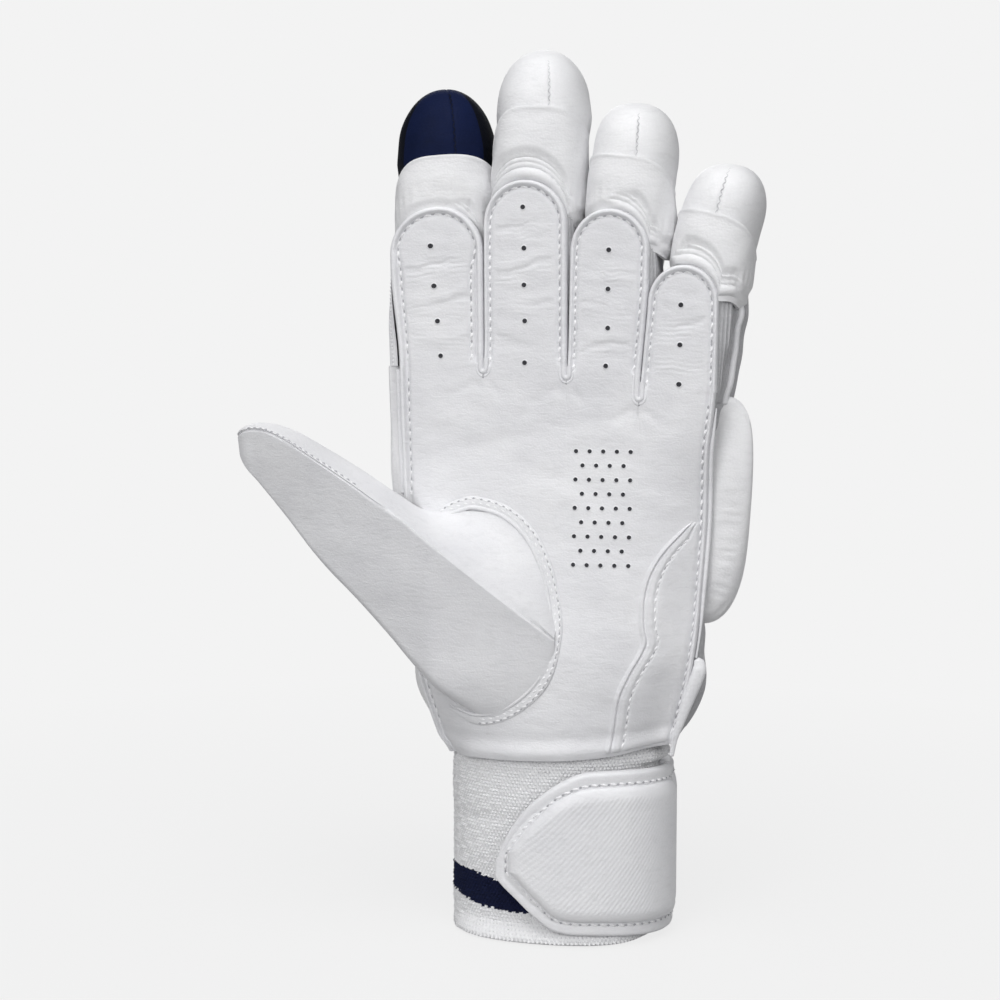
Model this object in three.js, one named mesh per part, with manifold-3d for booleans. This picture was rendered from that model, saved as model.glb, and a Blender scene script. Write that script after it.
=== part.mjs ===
// Left-hand cricket batting glove, upright on its cuff, as an assembly of its sewn and padded pieces.
// Frame in millimetres: +X towards the little finger, +Y from palm to back of the hand, +Z from wrist
// to fingertips. The origin is under the middle of the whole glove, on the surface the cuff stands on.
import * as THREE from "three";
import { mergeVertices } from "three/addons/utils/BufferGeometryUtils.js";
import Module from "manifold-3d";

const wasm = await Module();
wasm.setup();

// Materials in thickness
const GAP = 0.3; // clearance between pieces that touch
const LEATHER = 1.4; // palm and thumb leather
const SLEEVE = 1.6; // side and back walls of a finger
const WRAP = 1.4; // leather band round a fingertip
const PATCH = 1.2; // reinforcing patch on the heel of the palm
const TAPE = 0.8; // hook tape and loop tape
const STRAP = 2.2; // backing of the wrist strap
const STRAP_FACE = 1.6; // padded face of the wrist strap
const CUFF_WALL = 3.5; // elastic knit of the cuff
const ROLL = 14; // padded rolls on the back of the fingers
const ROLL_EDGE = 2; // side wall of a roll where it is sewn down
const ROLL_DRAW = 0.1; // how far a roll's corners are drawn in, as a share of its size
const KNUCKLE_ROLL = 13; // padded rolls over the knuckles
const BACKHAND_ROLL = 11; // padded bars over the back of the hand
const WRIST_ROLL = 6; // padded bar above the cuff
const BOLSTER = 15.5; // outer bolster beside the little finger
const THUMB_ROLL = 8; // padded back of the thumb
const THUMB_GUARD = 1.2; // stiff guard inside the thumb
const PIPING_RADIUS = 1.3; // cord sewn along the side seams
const WELT_RADIUS = 1.1; // cord round the root of the thumb

// Cuff and strap
const CUFF_WIDTH = 74;
const CUFF_DEPTH = 52;
const CUFF_MIDDLE_Y = 17; // the cuff's centre behind the plane of the finger fronts
const CUFF_ROUNDNESS = 2.2; // exponent of the cuff's oval
const HEM_Z = 64; // lower edge of the palm leather
const CUFF_TUCK = 7; // how far the cuff goes up inside the hem
const STRAP_LOW_Z = 4;
const STRAP_HIGH_Z = 61;
const STRAP_TIP_ANGLE = -18; // end of the strap's tab, in degrees from the front middle
const STRAP_HINGE_ANGLE = 88; // where the tab bends away from the part sewn to the cuff
const STRAP_TIP_Z = 27; // height of the tab's rounded tip
const STRAP_TIP_SPAN = 30; // degrees over which the tip narrows
const STRAP_TIP_SHAPE = 0.67; // exponent of the tip's outline, between a wedge and a half circle
const STRAP_END_ANGLE = 215; // where the sewn part ends on the back of the cuff
const STRAP_BORDER = 5; // flat border round the padded face
const TAPE_LEFT_ANGLE = 3;
const TAPE_RIGHT_ANGLE = 40;
const TAPE_INSET = 14; // from the strap's edges to the tape

// Palm and back of the hand: edge heights of its outline, from hem to knuckles
const HEEL_Z = 95;
const WAIST_Z = 120;
const UPPER_Z = 155;
const HEEL_WIDTH = 97;
const WAIST_WIDTH = 99;
const UPPER_WIDTH = 101;
const HEEL_FRONT = -10.5; // palm face in front of the plane of the finger fronts
const WAIST_FRONT = -6;
const UPPER_FRONT = -1.5;
const HEEL_SQUARE = 2.7; // exponents of the outline, from oval to nearly square
const WAIST_SQUARE = 3.2;
const UPPER_SQUARE = 4.2;
const KNUCKLE_SQUARE = 6;
const HEEL_BACK = 44;
const WAIST_BACK = 38;
const UPPER_BACK = 29;
const HEM_SEAM = 0.93; // side seams at the hem, as a share of the half width
const KNUCKLE_SEAM = 0.985; // the same at the finger roots
const BACKHAND_Z = 124; // between the two bars on the back of the hand
const WRIST_Z = 100; // between the lower bar and the wrist roll
const BACKHAND_REACH = 0.84; // half length of the bars, as a share of the half width
const WRIST_REACH = 0.74;
const BOLSTER_LOW_Z = 108;
const PATCH_TOP_Z = 143; // upper end of the patch on the heel
const PALM_MIDDLE_X = 2.8; // middle of the four finger roots beside the cuff's centre
const PALM_ROWS = 14; // rows of facets from hem to knuckles

// Fingers: sizes from the finger's root upwards
const FINGER_GAP = 1.2;
const FINGER_TAPER = 0.2; // a finger's half width lost by its tip
const STALL_DEPTH = 18; // inside depth of a finger
const FRONT_CROWN = 1.2; // how far the edges of a finger front curve back
const SLEEVE_CORNER = 5;
const PANEL_ARC = 13; // height of the round top of a finger front
const ROLL_SPACE = 2; // gap between neighbouring rolls, which opens as a finger bends
const WRAP_REACH = 0.72; // how far back the fingertip band goes, as a share of the finger's depth
const FINGERS = [
  {
    name: "index",
    width: 31, lean: -1.8, rootZ: 194,
    middle: 31.5, panel: 53, stall: 68.5, length: 94, shift: 0,
  },
  {
    name: "middle",
    width: 28.6, lean: 1, rootZ: 193.3,
    middle: 37, panel: 62.2, stall: 84.7, length: 106.7, shift: 0,
  },
  {
    name: "ring",
    width: 24.6, lean: 4.1, rootZ: 188.5,
    middle: 34.5, panel: 57, stall: 73, length: 93, shift: 0.6,
  },
  {
    name: "little",
    width: 23, lean: 9.5, rootZ: 183.5,
    middle: 27.5, panel: 43.5, stall: 59.5, length: 77, shift: 2.5,
  },
];

// Thumb: a tapered stall that leaves the palm at a low mound and points up and outwards
const THUMB_LENGTH = 56; // from the bending line beside the palm to the tip
const THUMB_ROOM = 1.5; // from the side of the palm to the thumb
const MOUND_RIGHT_X = 4; // end of the mound on the palm
const THUMB_FOOT_Y = -1; // seam between the thumb's front and back
const MOUND_INSET = 6; // from the mound's seam to the opening behind it
const MOUND_LIFT = 0.7; // the mound's seam in front of the palm

const GLOVE_WHITE = "#eef0f1";
const LEATHER_WHITE = "#e4e6e8";
const KNIT_WHITE = "#e9eaea";
const TAPE_GREY = "#c9ccd0";
const GUARD_GREY = "#8f959c";
const NAVY = "#17264f";

const steps = (count) => Array.from({ length: count + 1 }, (_, i) => i / count);
const point = (x, y, z) => new THREE.Vector3(x, y, z);
const lerp = THREE.MathUtils.lerp;
const radians = THREE.MathUtils.degToRad;
// Rises from 0 at the edges, where q is -1 or 1, to 1 in the middle.
const arch = (q, power = 2.4) => Math.max(0, 1 - Math.abs(q) ** power) ** (1 / power);

// A smooth function through rows that start with their own position.
function profile(rows) {
  const sorted = [...rows].sort((a, b) => a[0] - b[0]);
  const size = sorted[0].length - 1;
  const positions = sorted.map((row) => row[0]);
  const values = sorted.flatMap((row) => row.slice(1));
  const curve = new THREE.CubicInterpolant(positions, values, size, new Float64Array(size));
  const [low, high] = [positions[0], positions.at(-1)];
  return (t) => [...curve.evaluate(THREE.MathUtils.clamp(t, low, high))];
}

// Triangles as a geometry with its faces turned outwards.
function solid(vertices, index) {
  let volume = 0;
  for (let i = 0; i < index.length; i += 3) {
    const [a, b, c] = [0, 1, 2].map((k) => vertices[index[i + k]]);
    volume += a.dot(b.clone().cross(c));
  }
  const facing = volume > 0 ? index : index.toReversed();
  return new THREE.BufferGeometry().setFromPoints(vertices).setIndex(facing);
}

// A closed sheet between an outer and an inner surface over the same u, v places.
// A closed ring joins its last column to its first.
function sheet(outer, inner, us, vs, ring = false) {
  const columns = us.length;
  const layer = columns * vs.length;
  const grid = (surface) => vs.flatMap((v) => us.map((u) => surface(u, v)));
  const index = [];
  const quad = (a, b, c, d) => index.push(a, b, c, a, c, d);
  const at = (i, j) => j * columns + (i % columns);
  const last = vs.length - 1;
  const spans = ring ? columns : columns - 1;
  for (let i = 0; i < spans; i++) {
    for (let j = 0; j < last; j++) {
      quad(at(i, j), at(i + 1, j), at(i + 1, j + 1), at(i, j + 1));
      quad(layer + at(i, j + 1), layer + at(i + 1, j + 1), layer + at(i + 1, j), layer + at(i, j));
    }
    quad(at(i + 1, 0), at(i, 0), layer + at(i, 0), layer + at(i + 1, 0));
    quad(at(i, last), at(i + 1, last), layer + at(i + 1, last), layer + at(i, last));
  }
  for (let j = 0; j < last && !ring; j++) {
    quad(at(0, j), at(0, j + 1), layer + at(0, j + 1), layer + at(0, j));
    const edge = columns - 1;
    quad(at(edge, j + 1), at(edge, j), layer + at(edge, j), layer + at(edge, j + 1));
  }
  return solid([...grid(outer), ...grid(inner)], index);
}

// A closed dome through equal rings of points, flat at the first and fanned to a peak at the last.
function dome(rings, peak) {
  const count = rings[0].length;
  const vertices = [...rings.flat(), peak];
  const index = [];
  for (let i = 0; i < count; i++) {
    const next = (i + 1) % count;
    for (let r = 0; r + 1 < rings.length; r++) {
      const [a, b] = [r * count + i, r * count + next];
      index.push(a, b, b + count, a, b + count, a + count);
    }
    const top = (rings.length - 1) * count;
    index.push(top + i, top + next, vertices.length - 1);
    if (i > 0 && i < count - 1) index.push(0, i + 1, i);
  }
  return solid(vertices, index);
}

// A round cord along points, with closed ends.
function cord(points, radius, sides = 8) {
  const section = new THREE.Shape().absarc(0, 0, radius, 0, 2 * Math.PI);
  const path = new THREE.CatmullRomCurve3(points);
  const options = { steps: points.length * 2, curveSegments: sides / 2, extrudePath: path };
  return new THREE.ExtrudeGeometry(section, options);
}

function toManifold(geometry) {
  const bare = new THREE.BufferGeometry().setAttribute("position", geometry.getAttribute("position"));
  const merged = mergeVertices(geometry.index ? bare.setIndex(geometry.index) : bare);
  const vertProperties = merged.getAttribute("position").array;
  return new wasm.Manifold(
    new wasm.Mesh({ numProp: 3, vertProperties, triVerts: new Uint32Array(merged.index.array) }),
  );
}

function cut(geometry, tool) {
  const mesh = toManifold(geometry).subtract(toManifold(tool)).getMesh();
  return new THREE.BufferGeometry()
    .setAttribute("position", new THREE.BufferAttribute(mesh.vertProperties, 3))
    .setIndex(new THREE.BufferAttribute(mesh.triVerts, 1));
}

const glove = new THREE.Group();
glove.name = "batting_glove";

function add(name, geometry, color, roughness = 0.6, parent = glove) {
  const material = new THREE.MeshStandardMaterial({ color, roughness, metalness: 0 });
  const mesh = new THREE.Mesh(geometry, material);
  mesh.name = name;
  parent.add(mesh);
  return mesh;
}

// Finger roots side by side, and what follows from them
const rootsWidth = FINGERS.reduce((sum, f) => sum + f.width, (FINGERS.length - 1) * FINGER_GAP);
const fingerDepth = LEATHER + FRONT_CROWN + GAP + STALL_DEPTH + SLEEVE;
const rollBase = fingerDepth + GAP;
let edgeX = PALM_MIDDLE_X - rootsWidth / 2;
for (const finger of FINGERS) {
  finger.x = edgeX + finger.width / 2;
  edgeX += finger.width + FINGER_GAP;
}
const knuckleZ = Math.max(...FINGERS.map((f) => f.rootZ));

// Outline of the hand at a height: middle x, half width, middle y, half depth and squareness
const cuffHalfWidth = CUFF_WIDTH / 2;
const cuffHalfDepth = CUFF_DEPTH / 2;
const handWallThickness = Math.max(LEATHER, SLEEVE);
const hemRoom = handWallThickness + 2 * GAP;
const hemHalfWidth = cuffHalfWidth + hemRoom;
const hemFront = CUFF_MIDDLE_Y - cuffHalfDepth - hemRoom;
const hemBack = CUFF_MIDDLE_Y + cuffHalfDepth + hemRoom;
const handRow = (z, x, width, front, back, square) => [z, x, width / 2, front, back, square];
const hand = profile([
  handRow(HEM_Z, 0, 2 * hemHalfWidth, hemFront, hemBack, CUFF_ROUNDNESS),
  handRow(HEEL_Z, 0, HEEL_WIDTH, HEEL_FRONT, HEEL_BACK, HEEL_SQUARE),
  handRow(WAIST_Z, PALM_MIDDLE_X / 4, WAIST_WIDTH, WAIST_FRONT, WAIST_BACK, WAIST_SQUARE),
  handRow(UPPER_Z, PALM_MIDDLE_X / 2, UPPER_WIDTH, UPPER_FRONT, UPPER_BACK, UPPER_SQUARE),
  handRow(knuckleZ, PALM_MIDDLE_X, rootsWidth, 0, fingerDepth, KNUCKLE_SQUARE),
]);

// Place of the side seams at a height, as a share of the half width
const seamShare = (z) => {
  const t = THREE.MathUtils.smoothstep(z, HEEL_Z, UPPER_Z);
  return lerp(HEM_SEAM, KNUCKLE_SEAM, t);
};

// A point on the hand's outline: across is -1 to 1 from edge to edge, inset goes inwards.
function faceOfHand(across, z, side, inset) {
  const [x, halfWidth, front, back, square] = hand(z);
  const halfDepth = (back - front) / 2 - inset;
  const seam = seamShare(z);
  const q = THREE.MathUtils.clamp(across, -seam, seam);
  const y = (front + back) / 2 + side * halfDepth * arch(q, square);
  return point(x + across * (halfWidth - inset), y, z);
}
const palmFace = (across, z, inset = 0) => faceOfHand(across, z, -1, inset);
const backFace = (across, z, inset = 0) => faceOfHand(across, z, 1, inset);

// A point on the hand's side wall: along is -1 at the palm seam and 1 at the back seam.
function sideFace(along, z, side, inset = 0) {
  const [x, halfWidth, front, back, square] = hand(z);
  const halfDepth = (back - front) / 2;
  const seamY = (halfDepth - handWallThickness) * arch(seamShare(z), square);
  const reach = (seamY - GAP) / halfDepth;
  const across = arch(along * reach, square) * (halfWidth - inset);
  return point(x + side * across, lerp(front, back, 0.5 + (along * reach) / 2), z);
}

const acrossOf = (x, z) => (x - hand(z)[0]) / hand(z)[1];
const palmY = (x, z) => palmFace(acrossOf(x, z), z).y;

// Height where the hand's walls end under the fingers, which lean about their roots.
function rootHeight(x) {
  const finger = FINGERS.find((f) => x <= f.x + (f.width + FINGER_GAP) / 2) ?? FINGERS.at(-1);
  return finger.rootZ - (x - finger.x) * Math.tan(radians(finger.lean));
}

// Columns across the hand, with one at each edge and the middle of each finger root.
const rootPlaces = FINGERS.flatMap((f) => [-0.5, -0.25, 0, 0.25, 0.5].map((part) => f.x + part * f.width));
const rootColumns = rootPlaces.map((x) => (2 * (x - PALM_MIDDLE_X)) / rootsWidth);

// A wall of the hand from the hem up to the finger roots.
function handWall(face, thickness, rows) {
  const at = (inset) => (across, v) => {
    const z = lerp(HEM_Z, rootHeight(PALM_MIDDLE_X + (across * rootsWidth) / 2), v);
    const seam = seamShare(z);
    return face(THREE.MathUtils.clamp(across, -seam, seam), z, inset);
  };
  return sheet(at(0), at(thickness), rootColumns, steps(rows));
}

// The thumb leaves the palm beside its widest place.
const palmLeft = Math.min(...[HEEL_Z, WAIST_Z, UPPER_Z].map((z) => hand(z)[0] - hand(z)[1]));
const thumbPlaneX = palmLeft - THUMB_ROOM;
const thumbTipX = thumbPlaneX - THUMB_LENGTH;
const moundAt = (share) => lerp(MOUND_RIGHT_X, thumbPlaneX, share);
const thumbAt = (share) => lerp(thumbPlaneX, thumbTipX, share);

// Lower and upper edge and front crest of the mound and the thumb along x
const thumb = profile([
  [moundAt(0), 99, 107, -12],
  [moundAt(0.11), 85.5, 132, -15],
  [moundAt(0.24), 79.5, 142, -18],
  [moundAt(0.36), 76.5, 147, -20],
  [moundAt(0.62), 77.5, 149.5, -22.5],
  [moundAt(0.84), 88, 149, -23],
  [moundAt(1), 99.5, 152.5, -22.5],
  [thumbAt(0.2), 112, 159, -21.5],
  [thumbAt(0.44), 125.5, 166, -19],
  [thumbAt(0.67), 140.8, 171.8, -15],
  [thumbAt(0.85), 154.5, 173, -10.5],
  [thumbAt(0.96), 163, 172.2, -6.5],
  [thumbAt(1), 167.5, 170.8, -4],
]);
const thumbBack = profile([
  [thumbAt(0), 24],
  [thumbAt(0.35), 21],
  [thumbAt(0.67), 15],
  [thumbAt(0.89), 7.5],
  [thumbAt(1), 3],
]);

// The thumb's front leather at x, from lower to upper edge as q goes from -1 to 1.
function thumbFront(x, q, inset, onPalm) {
  const [low, high, crest] = thumb(x);
  const z = lerp(low + inset, high - inset, 0.5 + q / 2);
  const foot = onPalm ? palmY(x, z) - MOUND_LIFT : THUMB_FOOT_Y;
  return point(x, lerp(foot, crest + inset, arch(q)), z);
}

// The padded back of the thumb, pulled in by an inset.
function thumbRear(x, q, inset) {
  const [low, high] = thumb(x);
  const room = Math.min(inset, (high - low) * 0.42);
  const z = lerp(low + room, high - room, 0.5 + q / 2);
  const crest = Math.max(THUMB_FOOT_Y + 2 * GAP, thumbBack(x)[0] - inset);
  return point(x, lerp(THUMB_FOOT_Y + GAP, crest, arch(q)), z);
}

function buildPalm() {
  const palm = handWall(palmFace, LEATHER, PALM_ROWS);
  // The opening behind the thumb's mound, where the thumb goes in.
  const opening = new THREE.Shape();
  const inside = [0.22, 0.36, 0.58, 0.8].map(moundAt);
  const edge = (x, end) => new THREE.Vector2(x, thumb(x)[end] + (end ? -MOUND_INSET : MOUND_INSET));
  const rim = [...inside.map((x) => edge(x, 0)), ...inside.toReversed().map((x) => edge(x, 1))];
  opening.setFromPoints(rim);
  const reach = HEEL_BACK - HEEL_FRONT;
  const tool = new THREE.ExtrudeGeometry(opening, { depth: reach, bevelEnabled: false });
  tool.rotateX(Math.PI / 2).translate(0, reach / 2, 0);
  add("palm_leather", cut(palm, tool), LEATHER_WHITE, 0.55);

  // Reinforcing patch on the outer heel, from the side seam to its own wavy edge.
  const patchEdge = profile([
    [0, 0.44],
    [0.18, 0.48],
    [0.4, 0.6],
    [0.6, 0.6],
    [0.78, 0.68],
    [0.91, 0.78],
    [1, 0.85],
  ]);
  const patch = (lift) => (u, v) => {
    const z = lerp(HEM_Z + PATCH, PATCH_TOP_Z, v);
    return palmFace(lerp(patchEdge(v)[0], HEM_SEAM - 0.03, u), z, -lift);
  };
  add("heel_patch", sheet(patch(GAP + PATCH), patch(GAP), steps(4), steps(10)), LEATHER_WHITE, 0.55);
}

function buildHandBack() {
  add("back_panel", handWall(backFace, SLEEVE, 8), GLOVE_WHITE);
  for (const [name, side, finger] of [
    ["index_side_gusset", -1, FINGERS[0]],
    ["little_side_gusset", 1, FINGERS.at(-1)],
  ]) {
    const top = rootHeight(finger.x + (side * finger.width) / 2);
    const wall = (inset) => (u, v) => sideFace(lerp(-1, 1, u), lerp(HEM_Z, top, v), side, inset);
    add(name, sheet(wall(0), wall(SLEEVE), steps(6), steps(8)), GLOVE_WHITE);
    const seamAt = (z) => {
      const lift = PIPING_RADIUS + 2 * GAP;
      return palmFace(side * seamShare(z), z).add(point(side * lift, -0.2 * lift, 0));
    };
    const start = side < 0 ? thumb(thumbPlaneX)[1] + 2 * PIPING_RADIUS : HEM_Z + CUFF_TUCK;
    const heights = steps(6).map((t) => lerp(start, top - PIPING_RADIUS, t));
    add(name.replace("gusset", "piping"), cord(heights.map(seamAt), PIPING_RADIUS), GLOVE_WHITE);
  }
}

// A padded roll on a surface: seat(u, v, lift) gives a point lifted off the seat.
function roll(seat, thickness, columns = 6, rows = 6) {
  const height = (u, v) => {
    const rise = arch(2 * u - 1, 2.4) * arch(2 * v - 1, 2.6);
    return GAP + ROLL_EDGE + (thickness - ROLL_EDGE) * rise;
  };
  // Each side bows outwards, so that the corners are drawn in.
  const bow = (t, other) => 0.5 + (t - 0.5) * (1 - ROLL_DRAW * Math.abs(2 * other - 1) ** 3);
  const at = (lift) => (u, v) => seat(bow(u, v), bow(v, u), lift(u, v));
  const round = (t) => 0.5 - 0.5 * Math.cos(Math.PI * t);
  const us = steps(columns).map(round);
  const vs = steps(rows).map(round);
  return sheet(at(height), at(() => GAP), us, vs);
}

function buildBackRolls() {
  const knuckleLow = UPPER_Z - 6;
  for (const finger of FINGERS) {
    const high = finger.rootZ - ROLL_SPACE - (finger.width / 2) * Math.abs(Math.tan(radians(finger.lean)));
    const seat = (u, v, lift) => {
      const z = lerp(knuckleLow, high, v);
      const spread = (u - 0.5) * (finger.width - FINGER_GAP);
      const across = ((finger.x + spread - PALM_MIDDLE_X) / rootsWidth) * 2;
      return backFace(across * HEM_SEAM, z).add(point(0, lift, 0));
    };
    add(`${finger.name}_knuckle_roll`, roll(seat, KNUCKLE_ROLL), GLOVE_WHITE);
  }
  const bars = [
    ["upper_backhand_roll", BACKHAND_Z, knuckleLow - ROLL_SPACE, BACKHAND_REACH, BACKHAND_ROLL],
    ["lower_backhand_roll", WRIST_Z, BACKHAND_Z - ROLL_SPACE, BACKHAND_REACH, BACKHAND_ROLL],
    ["wrist_roll", HEM_Z + CUFF_TUCK, WRIST_Z - ROLL_SPACE, WRIST_REACH, WRIST_ROLL],
  ];
  for (const [name, low, high, reach, thickness] of bars) {
    const seat = (u, v, lift) => {
      return backFace(lerp(-reach, reach, u), lerp(low, high, v)).add(point(0, lift, 0));
    };
    add(name, roll(seat, thickness, 14), GLOVE_WHITE);
  }
  // Outer bolster on the side wall beside the little finger.
  const high = FINGERS.at(-1).rootZ - 2 * ROLL_SPACE;
  const seat = (u, v, lift) =>
    sideFace(lerp(-0.75, 0.9, u), lerp(BOLSTER_LOW_Z, high, v), 1).add(point(lift, 0, 0));
  add("side_bolster", roll(seat, BOLSTER, 6, 8), GLOVE_WHITE);
}

// One finger in its own frame: x across, y from front to back, z from the root to the tip.
function buildFinger(finger) {
  const { name, width, middle, panel, stall, length, shift } = finger;
  const group = new THREE.Group();
  group.position.set(finger.x, 0, finger.rootZ);
  group.rotation.y = radians(finger.lean);
  glove.add(group);
  const put = (piece, geometry, color, roughness) =>
    add(`${name}_${piece}`, geometry, color, roughness, group);
  const half = (z) => width / 2 - FINGER_TAPER * Math.min(1, z / stall);

  // Front leather below and above the bending line, the upper one with a round top.
  const panelTop = (u) => panel - PANEL_ARC * (1 - Math.sqrt(1 - 0.98 * u * u));
  const front = (low, high, lift) => (u, v) => {
    const z = lerp(low, high(u), v);
    return point(u * half(z), FRONT_CROWN * Math.abs(u) ** 3 + lift, z);
  };
  const acrossFront = steps(8).map((t) => 2 * t - 1);
  const strip = (low, high) => sheet(front(low, high, 0), front(low, high, LEATHER), acrossFront, steps(4));
  put("front_lower", strip(GAP, () => middle - GAP / 2), LEATHER_WHITE, 0.55);
  put("front_upper", strip(middle + GAP / 2, panelTop), LEATHER_WHITE, 0.55);

  // Side and back walls: a path from the front left edge round the back to the front right edge.
  const rim = LEATHER + FRONT_CROWN + GAP;
  const wallPath = (z, inset) => {
    const [w, back, r] = [half(z) - inset, fingerDepth - inset, SLEEVE_CORNER - inset];
    const corner = [0, 30, 60, 90].map(radians);
    const right = [[w, rim], ...corner.map((a) => [w - r + r * Math.cos(a), back - r + r * Math.sin(a)])];
    return [...right, ...right.toReversed().map(([x, y]) => [-x, y])];
  };
  const wall = (low, high) => {
    const at = (inset) => (i, v) => {
      const z = lerp(low, high, v);
      const [x, y] = wallPath(z, inset)[i];
      return point(x, y, z);
    };
    return sheet(at(0), at(SLEEVE), [...wallPath(0, 0).keys()], steps(2));
  };
  put("sleeve_lower", wall(GAP, middle - GAP / 2), GLOVE_WHITE);
  put("sleeve_upper", wall(middle + GAP / 2, stall - GAP), GLOVE_WHITE);

  // Padded rolls on the back, one to each side of the bending line.
  const back = (low, high) =>
    roll((u, v, lift) => {
      const z = lerp(low, high, v);
      return point((2 * u - 1) * half(z), fingerDepth + lift, z);
    }, ROLL);
  put("roll_lower", back(ROLL_SPACE / 2, middle - ROLL_SPACE / 2), GLOVE_WHITE);
  put("roll_upper", back(middle + ROLL_SPACE / 2, stall - ROLL_SPACE / 2), GLOVE_WHITE);

  // Leather band round the front and sides of the fingertip, above the front's round top.
  const wrapCorner = WRAP + FRONT_CROWN;
  const wrapPath = (z, inset) => {
    const [w, r] = [half(z) + GAP + WRAP - inset, wrapCorner - inset];
    const turn = [0, 45, 90].map(radians);
    const side = [w, fingerDepth * WRAP_REACH];
    const right = [side, ...turn.map((a) => [w - r + r * Math.cos(a), inset + r - r * Math.sin(a)])];
    const face = acrossFront.slice(1, -1).toReversed().map((u) => [u * half(z), inset]);
    return [...right, ...face, ...right.toReversed().map(([x, y]) => [-x, y])];
  };
  const wrap = (inset) => (i, v) => {
    const low = panelTop(THREE.MathUtils.clamp(wrapPath(panel, 0)[i][0] / half(panel), -1, 1)) + 2 * GAP;
    const z = lerp(low, stall - GAP, v);
    const [x, y] = wrapPath(z, inset)[i];
    return point(x, y, z);
  };
  put("tip_wrap", sheet(wrap(0), wrap(WRAP), [...wrapPath(0, 0).keys()], steps(2)), GLOVE_WHITE, 0.5);

  // Padded cap over the fingertip, as deep as the finger and its rolls.
  const capHalf = half(stall) + GAP + WRAP;
  const capDepth = rollBase + ROLL;
  const capRing = (t) => {
    const size = arch(t, 2.5);
    return steps(20)
      .slice(1)
      .map((a) => {
        const [c, s] = [Math.cos(a * 2 * Math.PI), Math.sin(a * 2 * Math.PI)];
        const x = shift * t + capHalf * size * Math.sign(c) * Math.abs(c) ** 0.8;
        const y = (capDepth / 2) * (1 + size * Math.sign(s) * Math.abs(s) ** 0.8);
        return point(x, y, lerp(stall, length, t));
      });
  };
  const capRings = [0, 0.3, 0.55, 0.75, 0.88, 0.96].map(capRing);
  const capColor = name === "index" ? NAVY : GLOVE_WHITE;
  put("tip_cap", dome(capRings, point(shift, capDepth / 2, length)), capColor, 0.45);
}

function buildThumb() {
  // Mound sewn on the palm round the thumb's opening.
  const across = steps(10).map((t) => -Math.cos(Math.PI * t));
  const span = (from, to) => (v) => lerp(from, to, v);
  const along = steps(9);
  const moundX = span(MOUND_RIGHT_X, thumbPlaneX + GAP);
  const mound = (inset) => (q, v) => thumbFront(moundX(v), q, inset, true);
  add("thumb_mound", sheet(mound(0), mound(LEATHER), across, along), LEATHER_WHITE, 0.55);

  const freeX = span(thumbPlaneX, thumbTipX);
  const front = (inset) => (q, v) => thumbFront(freeX(v), q, inset, false);
  add("thumb_front", sheet(front(0), front(LEATHER), across, along), LEATHER_WHITE, 0.55);
  const rear = (inset) => (q, v) => thumbRear(freeX(v), q, inset);
  add("thumb_roll", sheet(rear(0), rear(THUMB_ROLL), across, along), GLOVE_WHITE);
  const guardX = span(thumbAt(0.07), thumbAt(0.7));
  const guard = (inset) => (q, v) => thumbRear(guardX(v), q, THUMB_ROLL + inset);
  const guardSheet = sheet(guard(GAP), guard(GAP + THUMB_GUARD), across, steps(5));
  add("thumb_guard", guardSheet, GUARD_GREY, 0.4);

  // Cord round the mound's seam, from the top of the thumb round to its underside.
  const rimX = [0.8, 0.62, 0.36, 0.24, 0.11].map(moundAt);
  const ride = WELT_RADIUS + 2 * GAP + LEATHER * 0.5;
  const rimPoint = (x, end) => {
    const z = thumb(x)[end] + (end ? 1 : -1) * ride;
    return point(x, palmY(x, z) - ride, z);
  };
  const [noseLow, noseHigh] = thumb(MOUND_RIGHT_X);
  const noseZ = (noseLow + noseHigh) / 2;
  const nose = point(MOUND_RIGHT_X + 2 * ride, palmY(MOUND_RIGHT_X, noseZ) - ride, noseZ);
  const path = [
    ...rimX.map((x) => rimPoint(x, 1)),
    nose,
    ...rimX.toReversed().map((x) => rimPoint(x, 0)),
  ];
  add("thumb_welt", cord(path, WELT_RADIUS), GLOVE_WHITE);
}

// A point on the cuff's outside, turned from its front middle towards the little finger, and lifted off it.
function cuffPoint(degrees, lift, z) {
  const turn = radians(degrees);
  const bend = (t) => Math.sign(t) * Math.abs(t) ** (2 / CUFF_ROUNDNESS);
  const x = (cuffHalfWidth + lift) * bend(Math.sin(turn));
  return point(x, CUFF_MIDDLE_Y - (cuffHalfDepth + lift) * bend(Math.cos(turn)), z);
}

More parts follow.
